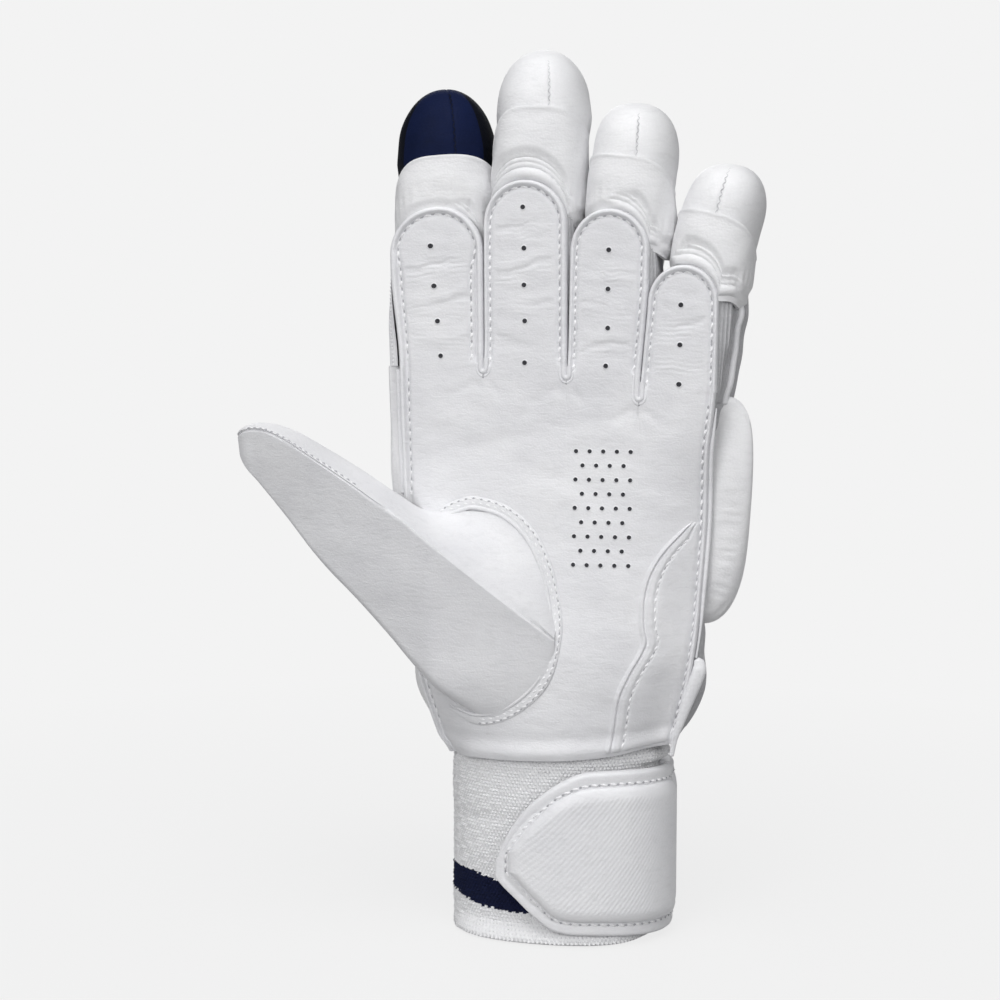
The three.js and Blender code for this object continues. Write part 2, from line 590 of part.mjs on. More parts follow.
function buildCuff() {
  const turns = steps(32).slice(1);
  const band = (lift) => (u, v) => cuffPoint(360 * u, lift, lerp(0, HEM_Z + CUFF_TUCK, v));
  add("cuff", sheet(band(0), band(-CUFF_WALL), turns, steps(2), true), KNIT_WHITE, 0.9);

  // Layers outwards from the cuff: loop tape, hook tape, strap backing, padded face.
  const loopLift = GAP;
  const hookLift = loopLift + TAPE + GAP;
  const strapLift = hookLift + TAPE + GAP;
  const faceLift = strapLift + STRAP + GAP;
  const layer = (from, to, low, high, lift, thick, columns) => {
    const at = (extra) => (u, v) => {
      const angle = lerp(from, to, u);
      return cuffPoint(angle, lift + extra, lerp(low(angle), high(angle), v));
    };
    return sheet(at(thick), at(0), steps(columns), steps(4));
  };
  const always = (z) => () => z;
  // The tab narrows to a rounded tip at its free end.
  const rounding = (angle, inset) => {
    const t = THREE.MathUtils.clamp((angle - STRAP_TIP_ANGLE - inset) / STRAP_TIP_SPAN, 0.02, 1);
    return t ** STRAP_TIP_SHAPE;
  };
  const inward = (border) => border * 1.5; // degrees that a border takes at the tip
  const low = (border) => (angle) =>
    lerp(STRAP_TIP_Z, STRAP_LOW_Z + border, rounding(angle, inward(border)));
  const high = (border) => (angle) =>
    lerp(STRAP_TIP_Z, STRAP_HIGH_Z - border, rounding(angle, inward(border)));
  const tapeLow = always(STRAP_LOW_Z + TAPE_INSET);
  const tapeHigh = always(STRAP_HIGH_Z - TAPE_INSET);
  const tape = (lift) => layer(TAPE_LEFT_ANGLE, TAPE_RIGHT_ANGLE, tapeLow, tapeHigh, lift, TAPE, 8);
  add("loop_tape", tape(loopLift), TAPE_GREY, 0.95);
  add("hook_tape", tape(hookLift), TAPE_GREY, 0.8);
  const tab = layer(STRAP_TIP_ANGLE, STRAP_HINGE_ANGLE, low(0), high(0), strapLift, STRAP, 20);
  add("strap_tab", tab, GLOVE_WHITE, 0.5);
  const faceFrom = STRAP_TIP_ANGLE + inward(STRAP_BORDER);
  const faceTo = STRAP_HINGE_ANGLE - inward(STRAP_BORDER);
  const face = layer(faceFrom, faceTo, low(STRAP_BORDER), high(STRAP_BORDER), faceLift, STRAP_FACE, 18);
  add("strap_face", face, GLOVE_WHITE, 0.5);
  // Part of the strap that is sewn to the side and back of the cuff.
  const sewnThick = strapLift + STRAP - GAP;
  const hingeGap = 1; // degrees
  const anchorFrom = STRAP_HINGE_ANGLE + hingeGap;
  const anchorLow = always(STRAP_LOW_Z);
  const anchorHigh = always(STRAP_HIGH_Z);
  const anchor = layer(anchorFrom, STRAP_END_ANGLE, anchorLow, anchorHigh, GAP, sewnThick, 18);
  add("strap_anchor", anchor, GLOVE_WHITE, 0.5);
}

buildPalm();
buildHandBack();
buildBackRolls();
FINGERS.forEach(buildFinger);
buildThumb();
buildCuff();

// The whole glove stands on its cuff with its origin under its middle.
const box = new THREE.Box3().setFromObject(glove, true);
const middle = box.getCenter(new THREE.Vector3());
glove.position.set(-middle.x, -middle.y, -box.min.z);

export default glove;
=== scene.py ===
"""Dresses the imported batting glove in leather, padding, seams, knit and strap, in a pale studio."""

import math

import bmesh
import bpy
import numpy as np
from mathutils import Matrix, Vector


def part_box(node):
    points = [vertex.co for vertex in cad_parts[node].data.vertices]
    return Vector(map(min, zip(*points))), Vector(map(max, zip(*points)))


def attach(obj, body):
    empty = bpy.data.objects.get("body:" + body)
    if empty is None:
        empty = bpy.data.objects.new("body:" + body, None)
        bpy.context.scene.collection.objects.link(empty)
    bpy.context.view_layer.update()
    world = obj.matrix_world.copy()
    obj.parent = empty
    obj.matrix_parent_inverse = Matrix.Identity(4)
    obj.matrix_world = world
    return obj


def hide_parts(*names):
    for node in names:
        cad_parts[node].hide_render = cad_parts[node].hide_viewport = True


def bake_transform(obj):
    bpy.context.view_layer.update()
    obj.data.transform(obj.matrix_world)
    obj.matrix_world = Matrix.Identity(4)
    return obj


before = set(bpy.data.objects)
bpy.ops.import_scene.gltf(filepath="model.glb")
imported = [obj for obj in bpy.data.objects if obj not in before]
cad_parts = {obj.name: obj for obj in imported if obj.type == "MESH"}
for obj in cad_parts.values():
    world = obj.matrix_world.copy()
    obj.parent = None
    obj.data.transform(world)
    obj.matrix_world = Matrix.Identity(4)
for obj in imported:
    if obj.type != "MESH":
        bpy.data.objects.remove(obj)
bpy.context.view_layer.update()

# Sizes in millimetres, in the drawing's own frame: x = 0 and z = 0 at the middle of the cuff's rim,
# y = 0 in the plane of the finger fronts.
GAP = 0.3
LEATHER = 1.4
SLEEVE = 1.6
CUFF_HALF_WIDTH = 37.0
CUFF_HALF_DEPTH = 26.0
CUFF_MIDDLE_Y = 17.0
CUFF_ROUNDNESS = 2.2
CUFF_WALL = 3.5
HEM_Z = 64.0
CUFF_TOP_Z = 71.0
KNUCKLE_Z = 194.0
PALM_MIDDLE_X = 2.8
ROOTS_WIDTH = 110.8
FINGER_GAP = 1.2
FINGER_TAPER = 0.2
FINGER_DEPTH = 22.5
ROLL = 14.0
CAP_HALF_DEPTH = (FINGER_DEPTH + GAP + ROLL) / 2
FRONT_CROWN = 1.2
SPLIT = 9.0  # a finger's pieces part this far below its bending line
BEND_START, BEND_END = 4.0, 17.0  # heights above a finger's root that span its knuckle, where the real leather bends
MOUND_RIGHT_X = 6.0
THUMB_PLANE_X = -50.6
THUMB_TIP_X = -107.6
THUMB_FOOT_Y = -1.0

# Each finger's sizes upwards from its root. The leather front leans less than the finger behind it.
FINGER_SIZES = ("width", "lean", "root", "middle", "panel", "stall", "length", "shift")
FINGERS = {
    "index": (31, -1.8, 194, 31.5, 53, 68.5, 94, 0),
    "middle": (28.6, 1, 193.3, 37, 62.2, 84.7, 106.7, 0),
    "ring": (24.6, 4.1, 188.5, 34.5, 57, 73, 93, -0.4),
    "little": (23, 9.5, 183.5, 27.5, 43.5, 59.5, 78.1, 1.0),
}
# Left and right edge and lean of each front, the height where it leaves the palm, and the distances of
# its seams from its edges.
FRONT_SIZES = ("left", "right", "front_lean", "foot", "left_seam", "right_seam")
FRONTS = {
    "index": (-50.8, -20.95, -0.8, 194, 3.2, 4.2),
    "middle": (-20.85, 7.55, -0.4, 193.3, 2.1, 2.5),
    "ring": (7.65, 34.0, 1.0, 190.6, 2.1, 2.4),
    "little": (34.1, 57.3, 0.9, 185.5, 2.1, 2.0),
}
# Half width of each fingertip's cap, its step sideways and the turn of its seam; the turn of the band
# below it and how far the band's edge drops to the left and to the right; the height of the loose folds
# under the band and the place in degrees where they begin; the fullness of the cap's dome; how far the
# band reaches down the finger's right side.
TIP_SIZES = ("cap", "cap_step", "seam_turn", "turn", "left_drop", "right_drop", "fold_height", "fold_start")
TIP_SIZES += ("dome", "reach")
TIPS = {
    "index": (17.3, 1.2, 22, 8, 22, 7, 4, 286, 2.1, 1),
    "middle": (16.1, 0.4, 17, 0, 26, 9, 8, 190, 2.1, 2),
    "ring": (14.5, 0.4, 10, -18, 5, 7.5, 6.5, 262, 2.5, 3),
    "little": (13.8, 0, 0, -20, 5, 8.5, 6.5, 222, 2.5, 3),
}
# Vent holes up each front, as x and z.
VENTS = {
    "index": ((-35.8, 197.1), (-36.8, 208.8), (-37.8, 220.6), (-38.8, 234.0)),
    "middle": ((-6.7, 194.9), (-6.7, 208.8), (-7.0, 220.7), (-7.0, 232.9), (-7.4, 246.4)),
    "ring": ((20.8, 193.9), (21.4, 206.4), (21.4, 219.2), (21.6, 232.0)),
    "little": ((45.2, 188.0), (45.4, 200.9), (45.6, 213.9)),
}

edge_x = PALM_MIDDLE_X - ROOTS_WIDTH / 2
for finger_name, sizes in FINGERS.items():
    finger = dict(zip(FINGER_SIZES, sizes))
    finger |= dict(zip(FRONT_SIZES, FRONTS[finger_name]))
    finger |= dict(zip(TIP_SIZES, TIPS[finger_name]))
    finger["x"] = edge_x + finger["width"] / 2
    finger["front_x"] = (finger["left"] + finger["right"]) / 2
    finger["front_half"] = (finger["right"] - finger["left"]) / 2
    FINGERS[finger_name] = finger
    edge_x += finger["width"] + FINGER_GAP

cuff_low, cuff_high = (np.array(corner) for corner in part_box("cuff"))
SHIFT = 500 * (cuff_low + cuff_high)
SHIFT[1] -= CUFF_MIDDLE_Y
SHIFT[2] = 0


def metres(points):
    """Points of the drawing as points of the frame."""
    return (np.asarray(points, float) + SHIFT) * 0.001


def smooth(t, low, high):
    t = np.clip((np.asarray(t, float) - low) / (high - low), 0, 1)
    return t * t * (3 - 2 * t)


def hump(t, middle, width):
    return np.exp(-(((np.asarray(t, float) - middle) / width) ** 2))


def arch(q, power=2.4):
    """Rises from 0 at the edges, where q is -1 or 1, to 1 in the middle."""
    return np.maximum(0, 1 - np.abs(q) ** power) ** (1 / power)


def lerp(a, b, t):
    return a + (b - a) * t


def unit(vectors):
    return vectors / np.maximum(np.linalg.norm(vectors, axis=-1, keepdims=True), 1e-9)


def stack(x, y, z):
    return np.stack(np.broadcast_arrays(*(np.asarray(v, float) for v in (x, y, z))), -1)


def run_length(path):
    """Distance of each point of a line from its start, along the line."""
    return np.concatenate([[0], np.cumsum(np.linalg.norm(np.diff(path, axis=0), axis=1))])


def circle(sides):
    """Angles of that many places round a circle."""
    return np.arange(sides) * 2 * math.pi / sides


def half_turn(degrees):
    """The same angle between -180 and 180 degrees."""
    return (degrees + 180) % 360 - 180


def round_over(d, width):
    """Rises from 0 at an edge to 1 at a distance, as a quarter of a circle does."""
    return np.sqrt(np.clip(1 - (np.minimum(d, width) / width - 1) ** 2, 0, 1))


def profile(rows):
    """A smooth function through rows that start with their own position."""
    table = np.array(sorted(rows), float)
    spots, values = table[:, 0], table[:, 1:]
    last = len(spots) - 1

    def at(t):
        t = np.clip(np.asarray(t, float), spots[0], spots[-1])
        i = np.clip(np.searchsorted(spots, t, side="right"), 1, last)
        low, high = spots[i - 1], spots[i]
        before = np.where(i == 1, high, spots[np.maximum(i - 2, 0)])
        after = np.where(i == last, low, spots[np.minimum(i + 1, last)])
        half = (high - low) / 2
        a, b = half / (low - before), half / (after - high)
        p = (t - low) / (high - low)
        weights = (
            -a * p**3 + 2 * a * p**2 - a * p,
            (1 + a) * p**3 - (1.5 + 2 * a) * p**2 + (a - 0.5) * p + 1,
            -(1 + b) * p**3 + (1.5 + b) * p**2 + 0.5 * p,
            b * p**3 - b * p**2,
        )
        picks = (np.where(i == 1, i, i - 2), i - 1, i, np.where(i == last, i - 1, i + 1))
        return sum(w[..., None] * values[np.clip(k, 0, last)] for w, k in zip(weights, picks))

    return at


def smooth_path(points, count):
    """A smooth line of that many points through a few."""
    rows = [(i, *p) for i, p in enumerate(points)]
    return profile(rows)(np.linspace(0, len(points) - 1, count))


def resample(path, pitch):
    """Points, and directions there, an even pitch apart along a line."""
    along = run_length(path)
    count = max(2, round(along[-1] / pitch))
    spots = (np.arange(count) + 0.5) * along[-1] / count
    pick = lambda s: np.stack([np.interp(s, along, path[:, k]) for k in range(3)], -1)
    return pick(spots), unit(pick(spots + 0.3) - pick(spots - 0.3)), spots / along[-1]


def ripple(x, z, size, seed=0.0):
    """Soft uneven waves between about -1 and 1, as leather has."""
    turn = seed * 1.7
    a = np.sin((x * 0.81 + z * 0.59) / size + turn + 1.3 * np.sin(z / size * 0.7 + seed))
    b = np.sin((x * 0.33 - z * 0.94) / size * 1.37 + 2.1 * turn + np.sin(x / size * 0.9 + turn))
    c = np.sin((z * 1.13 + x * 0.12) / size * 1.9 + 0.6 * turn)
    return (a + b + 0.7 * c) / 2.7


# Materials


def srgb(*levels):
    shares = [level / 255 for level in levels]
    linear = [s / 12.92 if s <= 0.04045 else ((s + 0.055) / 1.055) ** 2.4 for s in shares]
    return (*linear, 1.0)


class Nodes:
    """Shader nodes of a material or of the world."""

    def __init__(self, tree):
        self.tree = tree

    def node(self, kind, **settings):
        made = self.tree.nodes.new(kind)
        for key, value in settings.items():
            setattr(made, key, value)
        return made

    def put(self, socket, value):
        if isinstance(value, bpy.types.NodeSocket):
            self.tree.links.new(value, socket)
        else:
            socket.default_value = value

    def result(self, kind, output, inputs, **settings):
        """An output of a new node, some of whose inputs get values or links."""
        made = self.node(kind, **settings)
        for key, value in inputs.items():
            self.put(made.inputs[key], value)
        return made.outputs[output]

    def math(self, operation, a, b):
        return self.result("ShaderNodeMath", 0, {0: a, 1: b}, operation=operation)


class Skin(Nodes):
    """A material made of nodes that read the piece's own coordinates, in metres."""

    def __init__(self, name):
        self.material = bpy.data.materials.new(name)
        self.material.use_nodes = True
        super().__init__(self.material.node_tree)
        self.shader = self.tree.nodes["Principled BSDF"]
        self.place = self.node("ShaderNodeTexCoord").outputs["Object"]

    def stretched(self, stretch):
        return self.result("ShaderNodeMapping", "Vector", {"Vector": self.place, "Scale": stretch})

    def noise(self, scale, detail, roughness, distortion=0.0, stretch=(1, 1, 1)):
        inputs = {"Vector": self.stretched(stretch), "Scale": scale, "Detail": detail}
        inputs |= {"Roughness": roughness, "Distortion": distortion}
        return self.result("ShaderNodeTexNoise", "Fac", inputs)

    def pebbles(self, scale):
        inputs = {"Vector": self.stretched((1, 1, 1)), "Scale": scale, "Smoothness": 0.4}
        return self.result("ShaderNodeTexVoronoi", "Distance", inputs, feature="SMOOTH_F1")

    def between(self, value, low, high, start, end):
        inputs = {"Value": value, "From Min": low, "From Max": high, "To Min": start, "To Max": end}
        return self.result("ShaderNodeMapRange", "Result", inputs)

    def mix(self, factor, a, b):
        return self.result("ShaderNodeMix", 2, {0: factor, 6: a, 7: b}, data_type="RGBA")

    def set(self, **values):
        for key, value in values.items():
            self.put(self.shader.inputs[key.replace("_", " ")], value)

    def relief(self, height, distance, strength=1.0):
        bump = self.node("ShaderNodeBump")
        bump.inputs["Distance"].default_value = distance
        bump.inputs["Strength"].default_value = strength
        self.put(bump.inputs["Height"], height)
        previous = self.shader.inputs["Normal"].links
        if previous:
            self.put(bump.inputs["Normal"], previous[0].from_socket)
        self.put(self.shader.inputs["Normal"], bump.outputs["Normal"])


def leather(name, light, dark, gloss, grain, grain_depth, wrinkle_depth, specular=0.4):
    """Leather with blotches of tone, pores or pebbles, and fine wrinkles that lie mostly across it, whose
    valleys are darkened as painted shade.
    """
    skin = Skin(name)
    blotch = skin.noise(38, 4, 0.55)
    pores = skin.pebbles(grain)
    wrinkles = skin.noise(240, 5, 0.62, 0.8, (0.7, 0.7, 2.2))
    creases = skin.noise(620, 4, 0.6, 0.6, (0.6, 0.6, 2.4))
    tone = skin.mix(skin.between(blotch, 0.32, 0.68, 0, 1), srgb(*dark), srgb(*light))
    # Painted shade: the colour darkens in the wrinkles' valleys.
    shade = skin.between(wrinkles, 0.25, 0.5, 0.93, 1.0)
    pore_shade = skin.between(pores, 0.0, 0.5, 1.0, 0.965)
    level = skin.math("MULTIPLY", shade, pore_shade)
    color = skin.result("ShaderNodeVectorMath", 0, {0: tone, "Scale": level}, operation="SCALE")
    rough = skin.between(wrinkles, 0.2, 0.8, gloss - 0.06, gloss + 0.08)
    skin.set(Base_Color=color, Roughness=rough, Specular_IOR_Level=specular)
    skin.relief(wrinkles, wrinkle_depth, 0.6)
    skin.relief(creases, wrinkle_depth * 0.3, 0.6)
    skin.relief(pores, grain_depth, 0.5)
    return skin.material


def cloth(name, light, dark, scale, depth, rough=0.9, sheen=0.1):
    """Fabric with fibres across and along, and a tone that varies."""
    skin = Skin(name)
    fibres = skin.noise(scale, 4, 0.7, 0.3, (1, 1, 0.35))
    cross = skin.noise(scale * 0.8, 4, 0.7, 0.3, (0.35, 0.35, 1))
    both = skin.math("ADD", fibres, cross)
    skin.set(Base_Color=skin.mix(skin.between(both, 0.7, 1.3, 0, 1), srgb(*dark), srgb(*light)))
    skin.set(Roughness=skin.between(fibres, 0.3, 0.7, rough - 0.08, rough + 0.06))
    skin.set(Specular_IOR_Level=0.2, Sheen_Weight=sheen, Sheen_Roughness=0.5)
    skin.relief(both, depth, 0.7)
    return skin.material


# Painted shade: a grey for the pit between stitches and for the tack at each slit's foot.
PIT_SHADE_SKIN = cloth("painted shade between stitches", (186, 186, 190), (168, 168, 172), 3000, 0.0001)
PALM_SKIN = leather("palm leather", (233, 233, 235), (223, 223, 226), 0.56, 1500, 0.0001, 0.0003)
WHITE_SKIN = leather("white leather", (239, 239, 240), (231, 231, 233), 0.5, 1250, 0.00012, 0.00026)
NAVY_SKIN = leather("navy leather", (17, 28, 64), (11, 20, 47), 0.6, 1250, 0.00014, 0.0002, 0.07)
# Painted shade: darker navy for the shaded sides of the index finger's cap.
NAVY_SIDE_SHADE_SKIN = leather("navy leather with painted side shade", (8, 11, 24), (5, 8, 17), 0.6, 1250, 0.00014, 0.0002, 0.07)
EDGE_SKIN = leather("rolled edge leather", (238, 238, 240), (228, 228, 231), 0.52, 1800, 0.0001, 0.0003)
STRAP_SKIN = leather("strap leather", (239, 239, 241), (231, 231, 234), 0.46, 1400, 0.0001, 0.00015)
KNIT_SKIN = cloth("white knit", (246, 246, 247), (234, 234, 236), 1900, 0.0003)
KNIT_SHADE_SKIN = cloth("painted shade between knit loops", (230, 230, 232), (210, 210, 213), 1900, 0.0003)
NAVY_KNIT_SKIN = cloth("navy knit", (20, 28, 62), (10, 15, 38), 1900, 0.0003, sheen=0.0)
# Grey fabric, darkened further as painted shade for the shaded gussets beside the fingers.
GREY_RIB_SHADED_SKIN = cloth("grey ribbed cloth with painted shade", (194, 194, 196), (172, 172, 175), 1500, 0.0002, 0.85)
TAPE_SKIN = cloth("tape", (230, 230, 232), (208, 208, 211), 2400, 0.0004)
THREAD_SKIN = cloth("thread", (246, 246, 247), (230, 230, 232), 3200, 0.0001, 0.7)
NAVY_THREAD_SKIN = cloth("navy thread", (13, 17, 34), (8, 10, 22), 3200, 0.0001, 0.7, 0.0)
GREY_THREAD_SKIN = cloth("grey thread", (215, 215, 217), (190, 190, 193), 3200, 0.0001, 0.7)
# Painted shade: the dark dish closing each vent stands for the shaded inside of the glove.
HOLE_SHADE_SKIN = cloth("painted shade inside vent holes", (72, 72, 76), (42, 42, 46), 3000, 0.0002)
LINING_SKIN = cloth("lining", (214, 214, 216), (192, 192, 195), 1300, 0.0002)
GUARD_SKIN = leather("moulded guard", (150, 155, 161), (132, 137, 143), 0.38, 2200, 0.00004, 0.00005)


# Meshes


def cells(rows, columns, ring=False):
    """Corners of a grid's quads."""
    spans = columns if ring else columns - 1
    j, i = np.meshgrid(np.arange(rows - 1), np.arange(spans), indexing="ij")
    k = (i + 1) % columns
    return np.stack([j * columns + i, j * columns + k, (j + 1) * columns + k, (j + 1) * columns + i], -1)


class Piece:
    """One piece of the glove, gathered as closed shells in millimetres."""

    def __init__(self, name, *skins, place=None):
        self.name = name
        self.skins = skins
        self.place = place
        self.points, self.faces, self.slots = [], [], []
        self.size = 0

    def add(self, points, faces, skin=0):
        points = np.reshape(points, (-1, 3))
        faces = np.asarray(faces)
        self.points.append(points)
        self.faces.extend((faces + self.size).tolist())
        self.slots.extend(np.broadcast_to(skin, len(faces)).tolist())
        self.size += len(points)

    def shell(self, outer, inner, ring=False, keep=None, skin=0, lining=None):
        """A closed sheet between two grids; keep says which quads are there, skin which material."""
        rows, columns = outer.shape[:2]
        quads = cells(rows, columns, ring)
        keep = np.ones(quads.shape[:2], bool) if keep is None else keep
        skins = np.broadcast_to(skin, quads.shape[:2])[keep]
        front = quads[keep]
        layer = rows * columns
        edges = np.concatenate([front[:, [k, (k + 1) % 4]] for k in range(4)])
        # Places that coincide count as one, so a grid that folds onto itself has no wall along the fold.
        _, same = np.unique(np.round(outer.reshape(-1, 3), 4), axis=0, return_inverse=True)
        ends = same.reshape(-1)[edges]
        open_edge = ~np.isin(ends @ [layer, 1], ends @ [1, layer]) & (ends[:, 0] != ends[:, 1])
        a, b = edges[open_edge].T
        wall = np.stack([b, a, a + layer, b + layer], 1)
        wall_skins = np.tile(skins, 4)[open_edge]
        inner_skins = skins if lining is None else np.full(len(front), lining)
        self.add(
            np.concatenate([outer.reshape(-1, 3), inner.reshape(-1, 3)]),
            np.concatenate([front, front[:, ::-1] + layer, wall]),
            np.concatenate([skins, inner_skins, wall_skins]),
        )

    def tube(self, path, radius, sides=10, skin=0, flat=1.0, normals=None):
        """A round or flattened cord with rounded ends along a line."""
        path = np.asarray(path, float)
        count = len(path)
        radius = np.broadcast_to(np.asarray(radius, float), count)
        along = unit(np.gradient(path, axis=0))
        if normals is None:
            normals = np.zeros_like(path)
            start = np.cross(along[0], [0.31, 0.42, 0.85])
            for i in range(count):
                start = start - along[i] * (start @ along[i])
                start = start / np.linalg.norm(start)
                normals[i] = start
        side = unit(np.cross(along, normals))
        turn = circle(sides)[None, :, None]
        ring = np.cos(turn) * side[:, None] + flat * np.sin(turn) * normals[:, None]
        rings = path[:, None] + radius[:, None, None] * ring
        bulge = 0.6 * radius
        ends = np.stack([path[0] - along[0] * bulge[0], path[-1] + along[-1] * bulge[-1]])
        self.capped(rings, ends, skin, skin)

    def capped(self, rings, ends, skin=0, end_skin=0):
        """Rings of points, closed at both ends by fans round two end points."""
        count, sides = rings.shape[:2]
        first = self.size
        last, tip = first + (count - 1) * sides, first + count * sides
        points = np.concatenate([rings.reshape(-1, 3), ends])
        self.add(points, cells(count, sides, True).reshape(-1, 4), skin)
        for a in range(sides):
            b = (a + 1) % sides
            self.faces += [[tip, first + b, first + a], [tip + 1, last + a, last + b]]
            self.slots += [end_skin, end_skin]

    def stitches(
        self, path, normals, skin=1, pitch=3.4, length=2.4, radius=0.4, slant=0.0, tilt=0.2, draw_pit_shade=True
    ):
        """Sewing thread along a line: a row of short raised strokes, each tilted a little and turned to
        and fro by a slant, with painted shade for the pit between each stroke and the next."""
        path = np.asarray(path, float)
        spots, along, shares = resample(path, pitch)
        distance = run_length(path)
        places = distance / distance[-1]
        normals = np.broadcast_to(normals, path.shape)
        out = unit(np.stack([np.interp(shares, places, normals[:, k]) for k in range(3)], -1))
        side = unit(np.cross(along, out))
        # A flat grey diamond between strokes is painted shade for the pit where the thread draws the leather
        # in.
        if draw_pit_shade:
            gap, half = (pitch - length) / 2 + 0.2, 0.42
            corners = [(gap, 0, 0), (0, half, 0), (-gap, 0, 0), (0, -half, 0), (0, 0, 0.05), (0, 0, -0.3)]
            fans = [[4, a, (a + 1) % 4] for a in range(4)] + [[5, (a + 1) % 4, a] for a in range(4)]
            self.scatter(spots + along * pitch / 2, (along, side, out), corners, fans, self.slot_of(PIT_SHADE_SKIN))
        angle = tilt + np.where(np.arange(len(spots)) % 2, slant, -slant)[:, None]
        along = unit(along * np.cos(angle) + side * np.sin(angle))
        side = unit(np.cross(along, out))
        sides = 6
        # Along the stroke: place as a share of its length, width, and lift as a share of its radius.
        rings = ((-0.38, 0.72, -0.25), (0.0, 1.0, 0.1), (0.38, 0.72, -0.25))
        corners = [
            (length * s, radius * r * math.cos(t), radius * (r * math.sin(t) + d))
            for s, r, d in rings
            for t in circle(sides)
        ]
        corners += [(-length / 2, 0, -radius * 0.6), (length / 2, 0, -radius * 0.6)]
        faces = cells(len(rings), sides, True).reshape(-1, 4).tolist()
        tip, last = len(rings) * sides, (len(rings) - 1) * sides
        for a in range(sides):
            b = (a + 1) % sides
            faces += [[tip, b, a], [tip + 1, last + a, last + b]]
        self.scatter(spots, (along, side, out), corners, faces, skin)

    def scatter(self, spots, axes, corners, faces, skin):
        """Copies of one small closed shape, each at a spot and along its own three directions."""
        points = spots[:, None] + np.array(corners)[None] @ np.stack(axes, 1)
        first = self.size
        self.add(points, np.zeros((0, 4), int), skin)
        for k in range(len(spots)):
            base = first + k * len(corners)
            self.faces.extend([[base + corner for corner in face] for face in faces])
        self.slots.extend([skin] * (len(faces) * len(spots)))

    def slot_of(self, skin):
        """Number of a material on this piece, which is added if it is new."""
        if skin not in self.skins:
            self.skins = (*self.skins, skin)
        return self.skins.index(skin)

    def vents(self, points, normals, radius, lip_skin=0, hole_shade_skin=2):
        """Punched holes: a dish painted dark as the shade inside each hole, within a small raised lip."""
        sides = 14
        turn = circle(sides)
        rings = ((0.2, 0.03), (0.86, 0.03), (1.0, 0.16), (1.2, 0.16), (1.45, -0.1))
        for spot, normal in zip(np.reshape(points, (-1, 3)), np.reshape(normals, (-1, 3))):
            side = unit(np.cross(normal, [0.2, 0.1, 1.0]))
            up = np.cross(side, normal)
            outwards = np.cos(turn)[:, None] * side + np.sin(turn)[:, None] * up
            body = [spot + radius * (r * outwards + h * normal) for r, h in rings]
            under = [spot + radius * (r * outwards - 0.6 * normal) for r, _ in rings]
            skins = np.array([[hole_shade_skin], [hole_shade_skin], [lip_skin], [lip_skin]])
            self.shell(np.array(body), np.array(under), ring=True, skin=np.broadcast_to(skins, (4, sides)))
            first = self.size
            floor = np.concatenate([body[0], under[0]]) - 0.02 * normal
            rim = [list(range(sides)), list(range(2 * sides - 1, sides - 1, -1))]
            self.add(floor, cells(2, sides, True).reshape(-1, 4), hole_shade_skin)
            self.faces.extend([[first + k for k in face] for face in rim])
            self.slots.extend([hole_shade_skin] * 2)

    def finish(self, sharp=48):
        points = np.concatenate(self.points)
        if self.place:
            points = self.place(points)
        mesh = bpy.data.meshes.new(self.name)
        mesh.from_pydata(metres(points).tolist(), [], self.faces)
        for skin in self.skins:
            mesh.materials.append(skin)
        mesh.polygons.foreach_set("material_index", np.array(self.slots, np.int32))
        work = bmesh.new()
        work.from_mesh(mesh)
        bmesh.ops.delete(work, geom=[v for v in work.verts if not v.link_faces], context="VERTS")
        bmesh.ops.remove_doubles(work, verts=work.verts, dist=1e-7)
        bmesh.ops.recalc_face_normals(work, faces=work.faces)
        work.to_mesh(mesh)
        work.free()
        mesh.shade_smooth()
        mesh.set_sharp_from_angle(angle=math.radians(sharp))
        made = bpy.data.objects.new(self.name, mesh)
        bpy.context.collection.objects.link(made)
        return made


def dress(piece, slot, nodes, body=None, bend=None, sharp=48):
    """Makes the piece, hides the parts of the nodes it replaces, and hangs it on its body's empty; a piece
    given a bend is left where it was built.
    """
    made = piece.finish(sharp)
    if bend:
        first, second, start, end = bend
        tuple(metres(start))
        tuple(metres(end))
        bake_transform(made)
    else:
        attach(made, body)
    if nodes:
        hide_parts(*nodes)
    return made


def lay(surface, x, z, lift=0.0):
    """Points on a surface that gives y over x and z, with the directions that stand on it."""
    x, z = np.broadcast_arrays(np.asarray(x, float), np.asarray(z, float))
    step = 0.25
    slope_x = (surface(x + step, z) - surface(x - step, z)) / (2 * step)
    slope_z = (surface(x, z + step) - surface(x, z - step)) / (2 * step)
    normals = unit(stack(slope_x, -1, slope_z))
    return stack(x, surface(x, z), z) + normals * lift, normals


def bead_width(seam):
    """Width of the rolled edge beside a seam at that distance from the edge."""
    return np.minimum(2.0, seam - 0.5)


def rim(d, seam):
    """Height of a rolled edge and of the sewn groove beside it, at a distance from the edge."""
    width = bead_width(seam)
    half = width / 2
    bow = np.sqrt(np.maximum(0, 1 - ((np.minimum(d, width) - half) / half) ** 2))
    bead = np.where(d < half, 1.8 * bow - 0.9, 0.9 * bow)
    valley = 0.95 * hump(d, width + 0.6, 0.6) * smooth(seam - width, 0.7, 1.6)
    return bead - valley - 0.75 * hump(d, seam, 0.7)


EDGE_STEPS = np.array(
    [0, 0.06, 0.2, 0.42, 0.7, 1.0, 1.3, 1.6, 1.9, 2.15, 2.4, 2.7, 3.0, 3.4, 3.8, 4.1, 4.4, 4.8, 5.4, 7.0, 9.2]
)


def front_columns(width):
    """Places across a front, from its left edge, close together along both edges."""
    inside = np.linspace(EDGE_STEPS[-1], width - EDGE_STEPS[-1], 6)[1:-1]
    return np.concatenate([EDGE_STEPS, inside, width - EDGE_STEPS[::-1]])


# The hand

